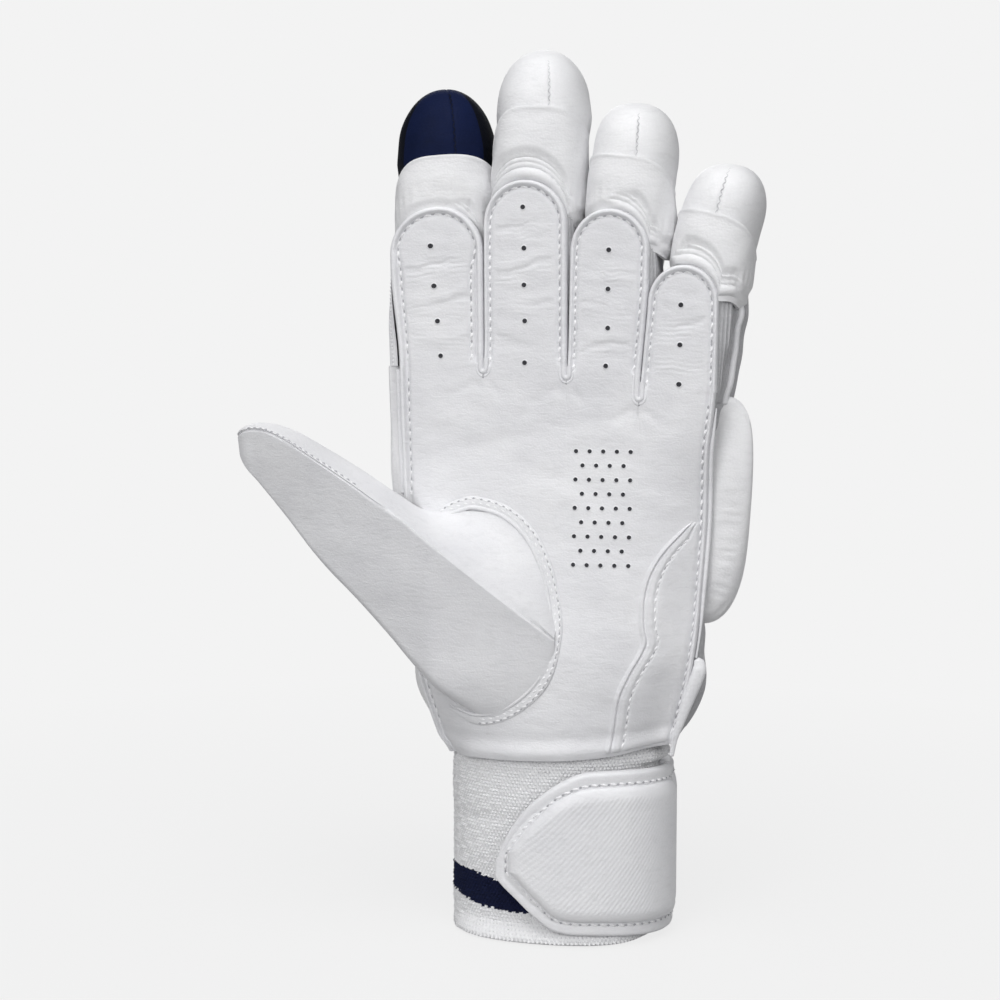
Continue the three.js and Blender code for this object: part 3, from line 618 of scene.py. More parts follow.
hand = profile(
    [
        (HEM_Z, 0, 39.2, -11.2, 45.2, CUFF_ROUNDNESS),
        (95, 0, 48.5, -10.5, 44, 2.7),
        (120, PALM_MIDDLE_X / 4, 49.5, -6, 38, 3.2),
        (155, PALM_MIDDLE_X / 2, 50.5, -1.5, 29, 4.2),
        (KNUCKLE_Z, PALM_MIDDLE_X, ROOTS_WIDTH / 2, 0, FINGER_DEPTH, 6),
    ]
)


def seam_share(z):
    return lerp(0.93, 0.985, smooth(z, 95, 155))


def face_of_hand(across, z, side, lift=0.0):
    """A point on the palm, side -1, or the back, side 1, with across from -1 to 1."""
    x, half_width, front, back, square = np.moveaxis(hand(z), -1, 0)
    seam = seam_share(z)
    q = np.clip(across, -seam, seam)
    y = (front + back) / 2 + side * ((back - front) / 2 + lift) * arch(q, square)
    return stack(x + across * half_width, y, z)


def side_of_hand(along, z, side, lift=0.0):
    """A point on the hand's side wall, with along from -1 at the palm's seam to 1 at the back's."""
    x, half_width, front, back, square = np.moveaxis(hand(z), -1, 0)
    half_depth = (back - front) / 2
    reach = ((half_depth - SLEEVE) * arch(seam_share(z), square) - GAP) / half_depth
    across = arch(along * reach, square) * (half_width + lift)
    return stack(x + side * across, lerp(front, back, 0.5 + along * reach / 2), z)


def root_line(finger, x):
    """Height where a finger's front leaves the palm."""
    return finger["foot"] - (x - finger["front_x"]) * math.tan(math.radians(finger["front_lean"]))


def root_height(x):
    """Height of the feet of the fronts above a place across the palm."""
    fingers = list(FINGERS.values())
    heights = [root_line(f, x) for f in fingers]
    edges = [(a["right"] + b["left"]) / 2 for a, b in zip(fingers, fingers[1:])]
    return np.select([x <= edge for edge in edges], heights[:-1], heights[-1])


def back_height(x):
    """Height of the finger roots above a place across the back of the hand."""
    fingers = list(FINGERS.values())
    heights = [f["root"] - (x - f["x"]) * math.tan(math.radians(f["lean"])) for f in fingers]
    edges = [f["x"] + (f["width"] + FINGER_GAP) / 2 for f in fingers[:-1]]
    return np.select([x <= edge for edge in edges], heights[:-1], heights[-1])


def sway(points):
    """The slit beside the little finger leans towards the thumb low down."""
    x, y, z = np.moveaxis(np.asarray(points, float), -1, 0)
    near = 1 - smooth(np.abs(x - 34), 2, 12)
    return stack(x - 2.0 * near * smooth(222 - z, 0, 40) * smooth(z, 165, 181), y, z)


INDEX_SPREAD = 2.6  # the index front grows this much wider on its outside
SPREAD_HEIGHT = 34.0  # and does so up to this height above its root


def spread(points):
    """The index finger's front, in its own frame, grows wider upwards on its outside."""
    x, y, z = np.moveaxis(np.asarray(points, float), -1, 0)
    share = np.clip(-x / FINGERS["index"]["front_half"], 0, 1)
    return stack(x - INDEX_SPREAD * smooth(z, 0, SPREAD_HEIGHT) * share, y, z)


PALM_LEFT = FINGERS["index"]["left"]
PALM_RIGHT = FINGERS["little"]["right"]
PALM_SIDE_X = -50.6  # left edge of the palm above the thumb
PALM_SEAMS = (3.3, 2.0)  # from the palm's left and right edge to the seams beside them
right_rows = [(HEM_Z, 43.4), (82.5, 47.9), (103, 51.5), (120, 52.8), (140, 54.1), (166, 54.9)]
palm_right = profile(right_rows + [(177, 56.3), (187, PALM_RIGHT)])


def palm_edges(z):
    """Left and right edge of the palm leather at a height, running into the finger fronts' edges."""
    x, half_width = np.moveaxis(hand(z), -1, 0)[:2]
    left = lerp(x - half_width * (seam_share(z) + 0.03), PALM_SIDE_X, smooth(z, 125, 150))
    return lerp(left, PALM_LEFT, smooth(z, 174, 193)), palm_right(z)[..., 0]


def soft_limit(q, limit, width):
    """Keeps q between -limit and limit, with a rounded turn of that width."""
    near = np.clip(0.5 + 0.5 * (limit - np.abs(q)) / width, 0, 1)
    return np.sign(q) * (lerp(limit, np.abs(q), near) - width * near * (1 - near))


def palm_base(x, z):
    """The palm's smooth face as y, flat where it runs into the finger fronts."""
    middle, half_width, front, back, square = np.moveaxis(hand(z), -1, 0)
    q = soft_limit((x - middle) / half_width, seam_share(z), 0.12)
    y = (front + back) / 2 - (back - front) / 2 * arch(q, square)
    left, right = palm_edges(z)
    outer = np.minimum(x - left, right - x)
    crown = FRONT_CROWN * np.clip(1 - outer / 14, 0, 1) ** 3
    return lerp(y, crown, smooth(z, 150, root_height(x) - 2))


hem_line = profile([(-42, 60.8), (-17, 61.9), (5, 62.7), (24, 64.2), (33, 65.4), (43, 67.0)])


def hem_height(x):
    """Height of the palm's lower edge, which rises towards the little finger's side."""
    return hem_line(x)[..., 0]


def round_corner(points):
    """The palm's lower corner under the thumb is rounded off."""
    x, y, z = np.moveaxis(np.asarray(points, float), -1, 0)
    return stack(x + 3.4 * smooth(67.5 - z, 0, 7) * smooth(-x, 22, 36), y, z)


# Where the slits between the fingers end on the palm
SLIT_FEET = ((-20.9, 190.4), (7.6, 188.4), (34.05, 181.4))


def palm_y(x, z):
    """The palm leather as y, with its rolled side edges, its hem and its soft folds."""
    left, right = palm_edges(z)
    d = np.clip(np.minimum(x - left, right - x), 0, None)
    away = smooth(d, 4, 12) * smooth(root_height(x) - z, 0, 10)
    folds = 0.3 * ripple(x, z, 9.0, 0.4) + 0.14 * ripple(x, z, 3.6, 2.2) + 0.06 * ripple(x, z * 1.4, 1.7, 1.3)
    valley = 0.25 * hump(z - 0.22 * x, 172, 2.6) + 0.2 * hump(z + 0.35 * x, 158, 3.2)
    # Short creases run down from the foot of each slit.
    for foot_x, foot_z in SLIT_FEET:
        for turn, length in ((-150, 16), (-115, 9), (-48, 14)):
            ux, uz = math.cos(math.radians(turn)), math.sin(math.radians(turn))
            along = (x - foot_x) * ux + (z - foot_z) * uz
            across = (z - foot_z) * ux - (x - foot_x) * uz
            valley = valley + 0.35 * hump(across, 0, 1.3) * smooth(along, 1, 4) * smooth(length - along, 0, 8)
    over = z - hem_height(x)
    hem = 1.1 * hump(over, 2.4, 2.3) - 0.35 * hump(over, 7.0, 1.8)
    seam = np.where(x < PALM_MIDDLE_X, *PALM_SEAMS)
    return palm_base(x, z) - rim(d, seam) + (folds + valley) * away - hem


def mound_at(share):
    return lerp(MOUND_RIGHT_X, THUMB_PLANE_X, share)


def thumb_at(share):
    return lerp(THUMB_PLANE_X, THUMB_TIP_X, share)


# Lower and upper edge and front crest of the mound and the thumb along x
thumb_rows = profile(
    [
        (mound_at(0), 99, 107, -12),
        (mound_at(0.05), 92.5, 118.5, -13.5),
        (mound_at(0.11), 87.5, 128.5, -15),
        (mound_at(0.24), 81, 139, -18),
        (mound_at(0.36), 76.6, 143.5, -20),
        (mound_at(0.62), 81, 145, -22.5),
        (mound_at(0.84), 90.2, 144.6, -23),
        (mound_at(1), 100.3, 149.6, -22.5),
        (thumb_at(0.2), 112.4, 156.8, -21.5),
        (thumb_at(0.44), 125.8, 164.7, -19.5),
        (thumb_at(0.67), 140.8, 171.4, -16),
        (thumb_at(0.85), 152.5, 173.8, -12.5),
        (thumb_at(0.95), 159, 172.8, -10),
        (thumb_at(0.985), 162.8, 170.9, -6.6),
        (thumb_at(1), 164.5, 170, -1.4),
    ]
)


def build_palm():
    palm = Piece("palm", PALM_SKIN, THREAD_SKIN, HOLE_SHADE_SKIN, EDGE_SKIN, LINING_SKIN)
    palm.place = lambda points: sway(round_corner(points))
    columns = np.concatenate([f["left"] + front_columns(2 * f["front_half"]) for f in FINGERS.values()])
    rows = np.linspace(0, 1, 130)[:, None]
    low = hem_height(columns * (palm_right(HEM_Z)[0] / PALM_RIGHT))
    z = lerp(low[None], root_height(columns)[None], rows)
    left, right = palm_edges(z)
    share = (columns - PALM_LEFT) / (PALM_RIGHT - PALM_LEFT)
    # Beside the edges the columns keep their distance from the edge.
    x = lerp(left, right, share[None])
    from_left, from_right = columns[None] - PALM_LEFT, PALM_RIGHT - columns[None]
    x = lerp(left + from_left, x, smooth(from_left, 7, 24))
    x = lerp(right - from_right, x, smooth(from_right, 7, 24))
    outer = stack(x, palm_y(x, z), z)
    inner = stack(x, palm_base(x, z) + LEATHER + 0.9, z)
    middle_x = (x[:-1, :-1] + x[1:, 1:]) / 2
    middle_z = (z[:-1, :-1] + z[1:, 1:]) / 2
    low, high, _ = np.moveaxis(thumb_rows(middle_x), -1, 0)
    hole = (middle_z > low + 7) & (middle_z < high - 7) & (middle_x < -6) & (middle_x > -39)
    edge = np.minimum(x - left, right - x)[:-1, :-1] < 1.5
    palm.shell(outer, inner, keep=~hole, skin=np.where(edge, 3, 0), lining=4)

    # Seams along both side edges.
    heights = np.linspace(HEM_Z + 6, 189, 170)
    for side in (0, 1):
        runs = [heights[heights < 181]] if side else [heights[heights > 148], heights[heights < 98]]
        for run in runs:
            x = palm_edges(run)[side] + (PALM_SEAMS[0] if side == 0 else -PALM_SEAMS[1])
            palm.stitches(*lay(palm_y, x, run, 0.12))

    # Rolled edges turn round at the foot of each slit between two fingers.
    fingers = list(FINGERS.values())
    for a, b, (_, foot) in zip(fingers, fingers[1:], SLIT_FEET):
        start = a["right"] - bead_width(a["right_seam"]) / 2
        end = b["left"] + bead_width(b["left_seam"]) / 2
        radius = (end - start) / 2
        low = foot + 1.6 + 1.25 * radius
        turn = np.linspace(math.pi, 2 * math.pi, 17)
        for wider, thick, sink, rise in ((0, 0.95, 0.25, 3), (1.25, 0.6, 0.35, 0.5)):
            reach = radius + wider
            arc = stack(start + radius + reach * np.cos(turn), sink, low + 1.25 * reach * np.sin(turn))
            legs = []
            for x, f in ((start - wider, a), (end + wider, b)):
                legs.append(np.linspace((x, sink + 0.1, f["foot"] + rise), (x, sink, low + 0.6), 6))
            palm.tube(np.concatenate([legs[0], arc, legs[1][::-1]]), thick, skin=3)
        dot = lay(palm_y, [start + radius], [foot], 0.1)
        bar = np.repeat(dot[0], 2, 0) + [[0, 0, -0.4], [0, 0, 0.4]]
        # The tack at the slit's foot is drawn in the painted pit shade.
        pit = palm.slot_of(PIT_SHADE_SKIN)
        palm.stitches(bar, dot[1], pit, pitch=9, length=1.0, radius=0.3, tilt=0, draw_pit_shade=False)

    # Vents: a plain staggered block of holes in the middle of the palm.
    left_x, low_z, pitch, rise = 11.0, 128, 4.6, 4.7
    full_row, row_count, radius = 5, 9, 0.72
    spots = []
    for row in range(row_count):
        odd = row % 2
        spots += [(left_x + pitch * (k + odd / 2), low_z + rise * row) for k in range(full_row - odd)]
    vent_x, vent_z = np.array(spots).T
    palm.vents(*lay(palm_y, vent_x, vent_z, 0.05), radius)
    dress(palm, "palm_leather", ["palm_leather"], "hand")


def build_heel_patch():
    patch = Piece("heel_patch_leather", PALM_SKIN, THREAD_SKIN)
    low = 65.2
    crease_rows = [(low, 24.4), (74, 25.8), (85, 27.7), (94, 31.8), (99, 34.6), (103.3, 36.0), (107, 35.3)]
    crease_rows += [(111, 35), (118, 35.2), (126, 37.3), (133.5, 41.9), (139.8, 48.0), (142.6, 51.4)]
    crease = profile(crease_rows)
    top, row = 142.4, 5.4  # height of the patch, and from its edge to its row of stitches
    ridge = 2.0  # a soft ridge lies before the crease

    def edges(z):
        left = crease(z)[..., 0] - ridge
        right = palm_edges(z)[1] - PALM_SEAMS[1] + 0.2
        return left, right, np.minimum(1, (right - left) / 9)

    rows = np.linspace(low, top, 130)[:, None]
    left, right, fit = edges(rows)
    steps = np.concatenate([np.linspace(0, 1.5, 6), np.linspace(1.65, 3.0, 10), np.linspace(3.5, 8.0, 16)])
    share = np.linspace(0, 1, 12)[1:]
    border = left + steps * fit
    x = np.concatenate([border, border[:, -1:] + (right - border[:, -1:]) * share], 1)
    d = (x - left) / fit
    shape = 0.8 * smooth(d, 0, 1.3) * smooth(2.05 - d, 0, 0.45)
    shape = shape + 0.45 * smooth(d, 2.0, 2.9) + 0.22 * hump(d, 4.3, 1.2) - 0.42 * hump(d, row, 0.6)
    end = smooth(right - x, 0, 1.0) * smooth(top - rows, 0, 1.2) * smooth(rows - 65, -0.3, 1.2)
    swell = 0.2 * ripple(x, rows, 7.0, 1.1) * smooth(d, 7, 10)
    z = rows + (hem_height(x) - HEM_Z) * smooth(86 - rows, 0, 20)
    y = palm_y(x, z)
    patch.shell(stack(x, y - (shape + swell) * end - 0.02, z), stack(x, y + 0.35, z))
    run = np.linspace(66.5, 137, 260)
    left, _, fit = edges(run)
    points, normals = lay(palm_y, left + row * fit, run, 0.12)
    patch.stitches(points, normals, pitch=3.2, length=2.3, radius=0.36)
    dress(patch, "palm_leather", ["heel_patch"], "hand")


def seam_depth(z, side):
    """How far back the palm's edge lies at a height."""
    return palm_base(palm_edges(z)[0 if side < 0 else 1], z)


ROPE = 2.3  # from the seam on the index side to the rope beside it


def tape_ridges(y, seam):
    """Rope and broad tape sewn along the index side, behind the seam of its front."""
    tape = smooth(y, seam + 3.3, seam + 3.9) * smooth(seam + 6.9 - y, 0, 0.6)
    return 0.45 * hump(y, seam + ROPE, 0.55) + 0.5 * tape


def sew_rope(piece, outer, out, seam, skin):
    """Thread wound along the rope on a wall given as a grid of points and outward directions."""
    near = np.argmin(np.abs(outer[..., 1] - seam - ROPE) + 50 * (outer[..., 0] > 0), axis=1)
    rows = np.arange(len(outer))
    path = outer[rows, near]
    piece.stitches(path, out[rows, near], skin, pitch=1.3, length=1.25, radius=0.34, tilt=0.5, draw_pit_shade=False)


def build_hand_shell():
    across = np.linspace(-1, 1, 61)[None]
    rows = np.linspace(0, 1, 61)[:, None]
    z = lerp(HEM_Z, back_height(PALM_MIDDLE_X + across * ROOTS_WIDTH / 2), rows)
    back = Piece("back_leather", WHITE_SKIN, THREAD_SKIN, LINING_SKIN)
    places = across * seam_share(z)
    hem = 0.9 * hump(z, HEM_Z + 2.2, 2.0)
    back.shell(face_of_hand(places, z, 1, hem), face_of_hand(places, z, 1, -SLEEVE), lining=2)
    run = np.linspace(-0.8, 0.8, 90)
    for height in (HEM_Z + 5, 99, 123, 148):
        points = face_of_hand(run, np.full_like(run, height), 1, 0.15)
        back.stitches(points, [0, 1, 0])
    dress(back, "white_leather", ["back_panel"], "hand")

    for name, side, slot in (("index", -1, "white_leather"), ("little", 1, "gusset_fabric")):
        finger = FINGERS[name]
        top = float(back_height(finger["x"] + side * finger["width"] / 2))
        wall = Piece(f"{name}_side_wall", WHITE_SKIN if side < 0 else GREY_RIB_SHADED_SKIN, THREAD_SKIN, LINING_SKIN)
        wall.place = round_corner
        along = np.linspace(-1, 1, 141)[None]
        # The lower edge follows the palm's hem near the palm.
        near_palm = smooth(-along, 0.0, 0.9)
        low = HEM_Z + (4.4 if side > 0 else -3.2) * near_palm
        z = lerp(low, top, np.linspace(0, 1, 90)[:, None])
        y = side_of_hand(along, z, side)[..., 1]
        seam = seam_depth(z, side)
        if side < 0:
            # The side swells above the thumb, and a ridged tape is sewn along it.
            reach = profile([(110, 0), (135, 5.0), (155, 7.2), (175, 5.0), (top, 3.4)])(z)[..., 0]
            lift = reach * smooth(z, 110, 125) * hump(y, seam + 7, 6.0)
            lift = lift + tape_ridges(y, seam) * smooth(z, 120, 140)
            lift = lift + 3.0 * hump(z, 81, 10) * hump(along, -0.4, 0.5)
        else:
            lift = 5.0 * smooth(z, 146, 180) * hump(y, 17, 6.5) + 0.22 * np.sin(along * 40)
        lift = lift * smooth(1 - np.abs(along), 0, 0.05) + 0.8 * hump(z, HEM_Z + 2.2, 2.0)
        outer = side_of_hand(along, z, side, lift)
        inner = side_of_hand(along, z, side, lift - SLEEVE)
        if side > 0:
            # The wall flares out to the palm's edge, and bulges a little behind the heel's flap.
            flare = (palm_edges(z)[1] - 0.9 - outer[:, :1, 0]) * smooth(-along, 0.45, 0.97)
            bulges = [(HEM_Z, 0), (69, 3), (73, 5.4), (84, 7.4), (90, 6.6), (98, 4.2), (106, 3.6)]
            bulge = profile(bulges + [(118, 0)])(z)[..., 0]
            flare = flare + bulge * hump(along, -0.55, 0.28) * smooth(1 + along, 0, 0.2)
            outer[..., 0] += flare
            inner[..., 0] += flare
        wall.shell(outer, inner, lining=2)
        if side < 0:
            high = z[:, 0] > 140
            sew_rope(wall, outer[high], unit(outer - inner)[high], seam[high, :1], 1)
        dress(wall, slot, [f"{name}_side_gusset"], "hand")

        cord = Piece(f"{name}_side_cord", EDGE_SKIN, THREAD_SKIN)
        run = np.linspace(150 if side < 0 else 97, top - 1.5, 90)
        path = stack(palm_edges(run)[0 if side < 0 else 1] + side * 0.6, seam_depth(run, side) + 1.4, run)
        little = lerp(0.4, 0.85, smooth(run, 100, 122)) * lerp(0.3, 1.0, smooth(top - run, 0, 16))
        cord.tube(path, 1.0 if side < 0 else little, 12)
        if side > 0:
            # Low on the heel a round-ended flap stands off the palm's edge down to the cuff.
            flap = [(52.2, 3.4, 96.2), (52.4, 3.2, 93), (50.9, 3.0, 88.2), (48.5, 3.0, 81.8)]
            flap += [(46.2, 3.2, 74.8), (44.3, 3.6, 69), (43.2, 4, 63.2)]
            widths = (1.6, 2.4, 2.3, 2.0, 1.4, 1.0, 0.8)
            line = smooth_path(flap, 60)
            width = np.interp(np.linspace(0, len(flap) - 1, len(line)), range(len(flap)), widths)
            facing = np.broadcast_to(unit(np.array([0.25, -1.0, 0])), line.shape)
            cord.tube(line, width, 16, flat=0.6, normals=facing)
        dress(cord, "white_leather", [f"{name}_side_piping"], "hand")


# Padding


PILLOW_EDGE = 0.9  # thickness of a roll at its seam


def pillow(piece, seat, thickness, columns=30, rows=30, channels=(), skin=0, pull=0.32, seed=0.0, shape=None):
    """A stuffed roll on a seat that gives points for u and v from -1 to 1 and a height above it.
    Its corners are drawn in, its seam is puckered, and channels are sewn across it."""
    ease = lambda count: -np.cos(np.linspace(0, math.pi, count))
    u, v = np.meshgrid(ease(columns), ease(rows))
    across = u * np.sqrt(1 - pull * v**2 / 2)
    along = v * np.sqrt(1 - pull * u**2 / 2)
    rise = arch(u, 2.3) * arch(v, 2.5)
    for place, depth in channels:
        rise = rise * (1 - depth * hump(v, place, 0.075))
        rise = rise * (1 - 0.25 * depth * hump(v, place, 0.2))
    border = np.maximum(np.abs(u), np.abs(v))
    turn = np.arctan2(v, u)
    pucker = 1 - 0.05 * smooth(border, 0.72, 0.95) * (1 + np.sin(turn * 23 + seed))
    soft = 1 + 0.022 * ripple(u * 10, v * 10, 3.0, seed)
    if shape:
        soft = soft * shape(u, v)
    height = GAP + PILLOW_EDGE + (thickness - PILLOW_EDGE) * rise * pucker * soft
    piece.shell(seat(across, along, height), seat(across, along, 0 * u + GAP), skin=skin)


def on_back(across, z, lift):
    """A point lifted straight off the back of the hand."""
    return face_of_hand(across, z, 1) + stack(0, lift, 0)


def build_back_rolls():
    for name, finger in FINGERS.items():
        low = 149.0
        lean = abs(math.tan(math.radians(finger["lean"])))
        high = finger["root"] - 2 - finger["width"] / 2 * lean

        def seat(u, v, lift, finger=finger, low=low, high=high):
            z = lerp(low, high, 0.5 + v / 2)
            spread = u / 2 * (finger["width"] - FINGER_GAP)
            across = (finger["x"] + spread - PALM_MIDDLE_X) / ROOTS_WIDTH * 2
            return on_back(across * 0.93, z, lift)

        roll = Piece(f"{name}_knuckle_pad", WHITE_SKIN)
        pillow(roll, seat, 13, channels=((0.0, 0.45),), rows=40, seed=finger["x"])
        dress(roll, "white_leather", [f"{name}_knuckle_roll"], "hand")

    bars = (
        ("upper_backhand", 124, 147, 0.84, 11),
        ("lower_backhand", 100, 122, 0.84, 11),
        ("wrist", 71, 98, 0.74, 6),
    )
    for name, low, high, reach, thickness in bars:

        def seat(u, v, lift, low=low, high=high, reach=reach):
            return on_back(u * reach, lerp(low, high, 0.5 + v / 2), lift)

        bar = Piece(f"{name}_pad", WHITE_SKIN)
        pillow(bar, seat, thickness, 72, 30, pull=0.16, seed=low)
        dress(bar, "white_leather", [f"{name}_roll"], "hand")

    # The bolster beside the little finger is drawn in towards its top.
    def seat(u, v, lift, low=106.5, high=184):
        taper = 1 - 0.5 * smooth(v, 0.1, 1.0) - 0.1 * smooth(-v, 0.5, 1.0)
        along = lerp(-0.75, 0.9, 0.5 + u * taper / 2) + 0.15 * smooth(v, 0.2, 1.0)
        return side_of_hand(along, lerp(low, high, 0.5 + v / 2), 1) + stack(lift, 0, 0)

    bolster = Piece("outer_bolster", WHITE_SKIN)

    def gather(u, v):
        folds = 1 + np.sin(v * 58 + 3 * u + 1.5 * np.sin(v * 17))
        return 1 - 0.04 * smooth(-u, 0.55, 0.92) * smooth(0.55 - v, 0, 0.5) * folds

    pillow(bolster, seat, 16.0, 44, 170, pull=0.42, seed=0.7, shape=gather)
    dress(bolster, "white_leather", ["side_bolster"], "hand")


# Fingers


def turned(x, z, lean):
    """From a leaning frame with its origin at x and z to the drawing."""
    cos, sin = math.cos(math.radians(lean)), math.sin(math.radians(lean))

    def place(points):
        px, py, pz = np.moveaxis(np.asarray(points, float), -1, 0)
        return stack(x + px * cos + pz * sin, py, z - px * sin + pz * cos)

    return place


def half_width(finger, z):
    return finger["width"] / 2 - FINGER_TAPER * np.minimum(1, np.asarray(z, float) / finger["stall"])


def front_tilt(finger):
    """Turn from a finger's own frame to its front's, and the sideways step between them."""
    return math.radians(finger["lean"] - finger["front_lean"]), finger["x"] - finger["front_x"]


def panel_arc(finger):
    """Height of the round top of a front."""
    return 1.04 * finger["front_half"]


def build_front(name, finger):
    """The leather front of a finger: a strip below the bending line and a round-topped one above."""
    stand = turned(finger["front_x"], finger["root"], finger["front_lean"])
    place = lambda points: sway(stand(spread(points) if name == "index" else points))
    panel, split, half = finger["panel"], finger["middle"] - SPLIT, finger["front_half"]
    foot = finger["foot"] - finger["root"]
    seed = finger["x"] * 0.37
    arc = panel_arc(finger)
    arc_middle = panel - arc
    vents = np.array(VENTS[name]) - [finger["front_x"], finger["root"]]
    lean = math.tan(math.radians(finger["front_lean"]))
    vent_x, vent_z = vents[:, 0] - vents[:, 1] * lean, vents[:, 1]

    def edge_distance(x, z):
        return half - np.hypot(x, np.maximum(0, z - arc_middle) * half / arc)

    def crown_at(x):
        """How far the front's smooth face lies back towards its edges."""
        return FRONT_CROWN * np.minimum(1, np.abs(x) / half) ** 3

    def seam_at(x, z):
        """Distance of the seam from the edge."""
        round_top = smooth(z, arc_middle - 8, arc_middle + 4)
        left = lerp(finger["left_seam"], 2.3, round_top)
        return lerp(left, lerp(finger["right_seam"], 2.4, round_top), smooth(x, -4, 4))

    def height(x, z):
        # Edges along a slit begin flat at the foot, where the palm's own rolled edge takes over.
        inner = np.where(x < 0, float(name != "index"), float(name != "little"))
        crown = crown_at(x) * (1 - inner * smooth(foot + 10 - z, 0, 10))
        d = np.clip(edge_distance(x, z), 0, None)
        edge = rim(d, seam_at(x, z)) * (1 - inner * smooth(foot + 3.5 - z, 0, 3.5))
        inside = smooth(d, 3.4, 6.0) * smooth(z - foot, 0, 8)
        folds = 0.16 * ripple(x, z * 1.5, 5.2, seed) + 0.09 * ripple(x, z * 1.5, 2.4, seed + 1)
        # Creases lie across part of the front between its vents, with fine wrinkles beside them.
        for k, spot in enumerate(vent_z[:-1] + np.diff(vent_z) * 0.5):
            slope = 0.16 * math.sin(seed + 2.0 * k)
            away = z - slope * x - spot - 1.1 * np.sin(x * 0.23 + seed + k) - 0.3 * np.sin(x * 0.9 + 2 * k)
            part = 0.45 + 0.55 * np.sin(x * 0.17 + 1.9 * k + seed)
            folds = folds + 0.3 * part * hump(away, 0, 0.9) - 0.14 * part * hump(away, 2.2, 1.6)
            folds = folds + 0.07 * np.sin(away * 3.7 + 1.7 * np.sin(x * 0.5 + k)) * hump(away, -1, 4.0)
        return crown - edge + folds * inside

    def back_of(x):
        return crown_at(x) + LEATHER + 0.8

    skins = (PALM_SKIN, THREAD_SKIN, HOLE_SHADE_SKIN, EDGE_SKIN)
    columns = front_columns(2 * half) - half
    lower = Piece(f"{name}_front_lower_leather", *skins, place=place)
    z = np.linspace(foot, split, 56)[:, None]
    x = columns[None] + 0 * z
    near = (edge_distance(x, z) < bead_width(seam_at(x, z)) - 0.1)[:-1, :-1]
    lower.shell(stack(x, height(x, z), z), stack(x, back_of(x), z), skin=np.where(near, 3, 0))

    # The upper front is drawn as lines that run in from its edge to a spine up its middle.
    upper = Piece(f"{name}_front_upper_leather", *skins, place=place)
    side = np.linspace(split, arc_middle, 40)[:-1]
    turn = np.linspace(math.pi, 0, 61)
    rim_x = np.concatenate([np.full(len(side), -half), half * np.cos(turn), np.full(len(side), half)])
    rim_z = np.concatenate([side, arc_middle + arc * np.sin(turn), side[::-1]])
    spine_z = np.minimum(rim_z, arc_middle)
    inside = np.linspace(EDGE_STEPS[-1], half, 8)[1:]
    shares = np.concatenate([EDGE_STEPS, inside])[:, None] / half
    x = rim_x[None] * (1 - shares)
    z = lerp(rim_z[None], spine_z[None], shares)
    near = (shares * half < bead_width(seam_at(rim_x, rim_z))[None] - 0.1)[:-1, :-1]
    upper.shell(stack(x, height(x, z), z), stack(x, back_of(x), z), skin=np.where(near, 3, 0))

    # Seams beside the rolled edge, and the vents up the middle.
    run = np.linspace(foot + 1.0, split - 0.6, 60)
    for sign in (-1, 1):
        lower.stitches(*lay(height, sign * (half - seam_at(np.full_like(run, sign * half), run)), run, 0.1))
    seam_share = seam_at(rim_x, rim_z) / half
    upper.stitches(*lay(height, rim_x * (1 - seam_share), lerp(rim_z, spine_z, seam_share), 0.1))
    for part, chosen in ((lower, vent_z < split), (upper, vent_z >= split)):
        part.vents(*lay(height, vent_x[chosen], vent_z[chosen], 0.05), 0.82)

    knuckle = [place(np.array([0, 0, z])) for z in (BEND_START, BEND_END)]
    middle = [place(np.array([0, 0, z])) for z in (split, finger["middle"] + SPLIT)]
    base, tip = f"{name}_base", f"{name}_tip"
    dress(lower, "palm_leather", [f"{name}_front_lower"], bend=("hand", base, *knuckle))
    dress(upper, "palm_leather", [f"{name}_front_upper"], bend=(base, tip, *middle))


SLEEVE_SEAM_Y = 1.7  # depth of the seam behind the index finger's front
RIB_COUNT = 41  # ribs round a sleeve


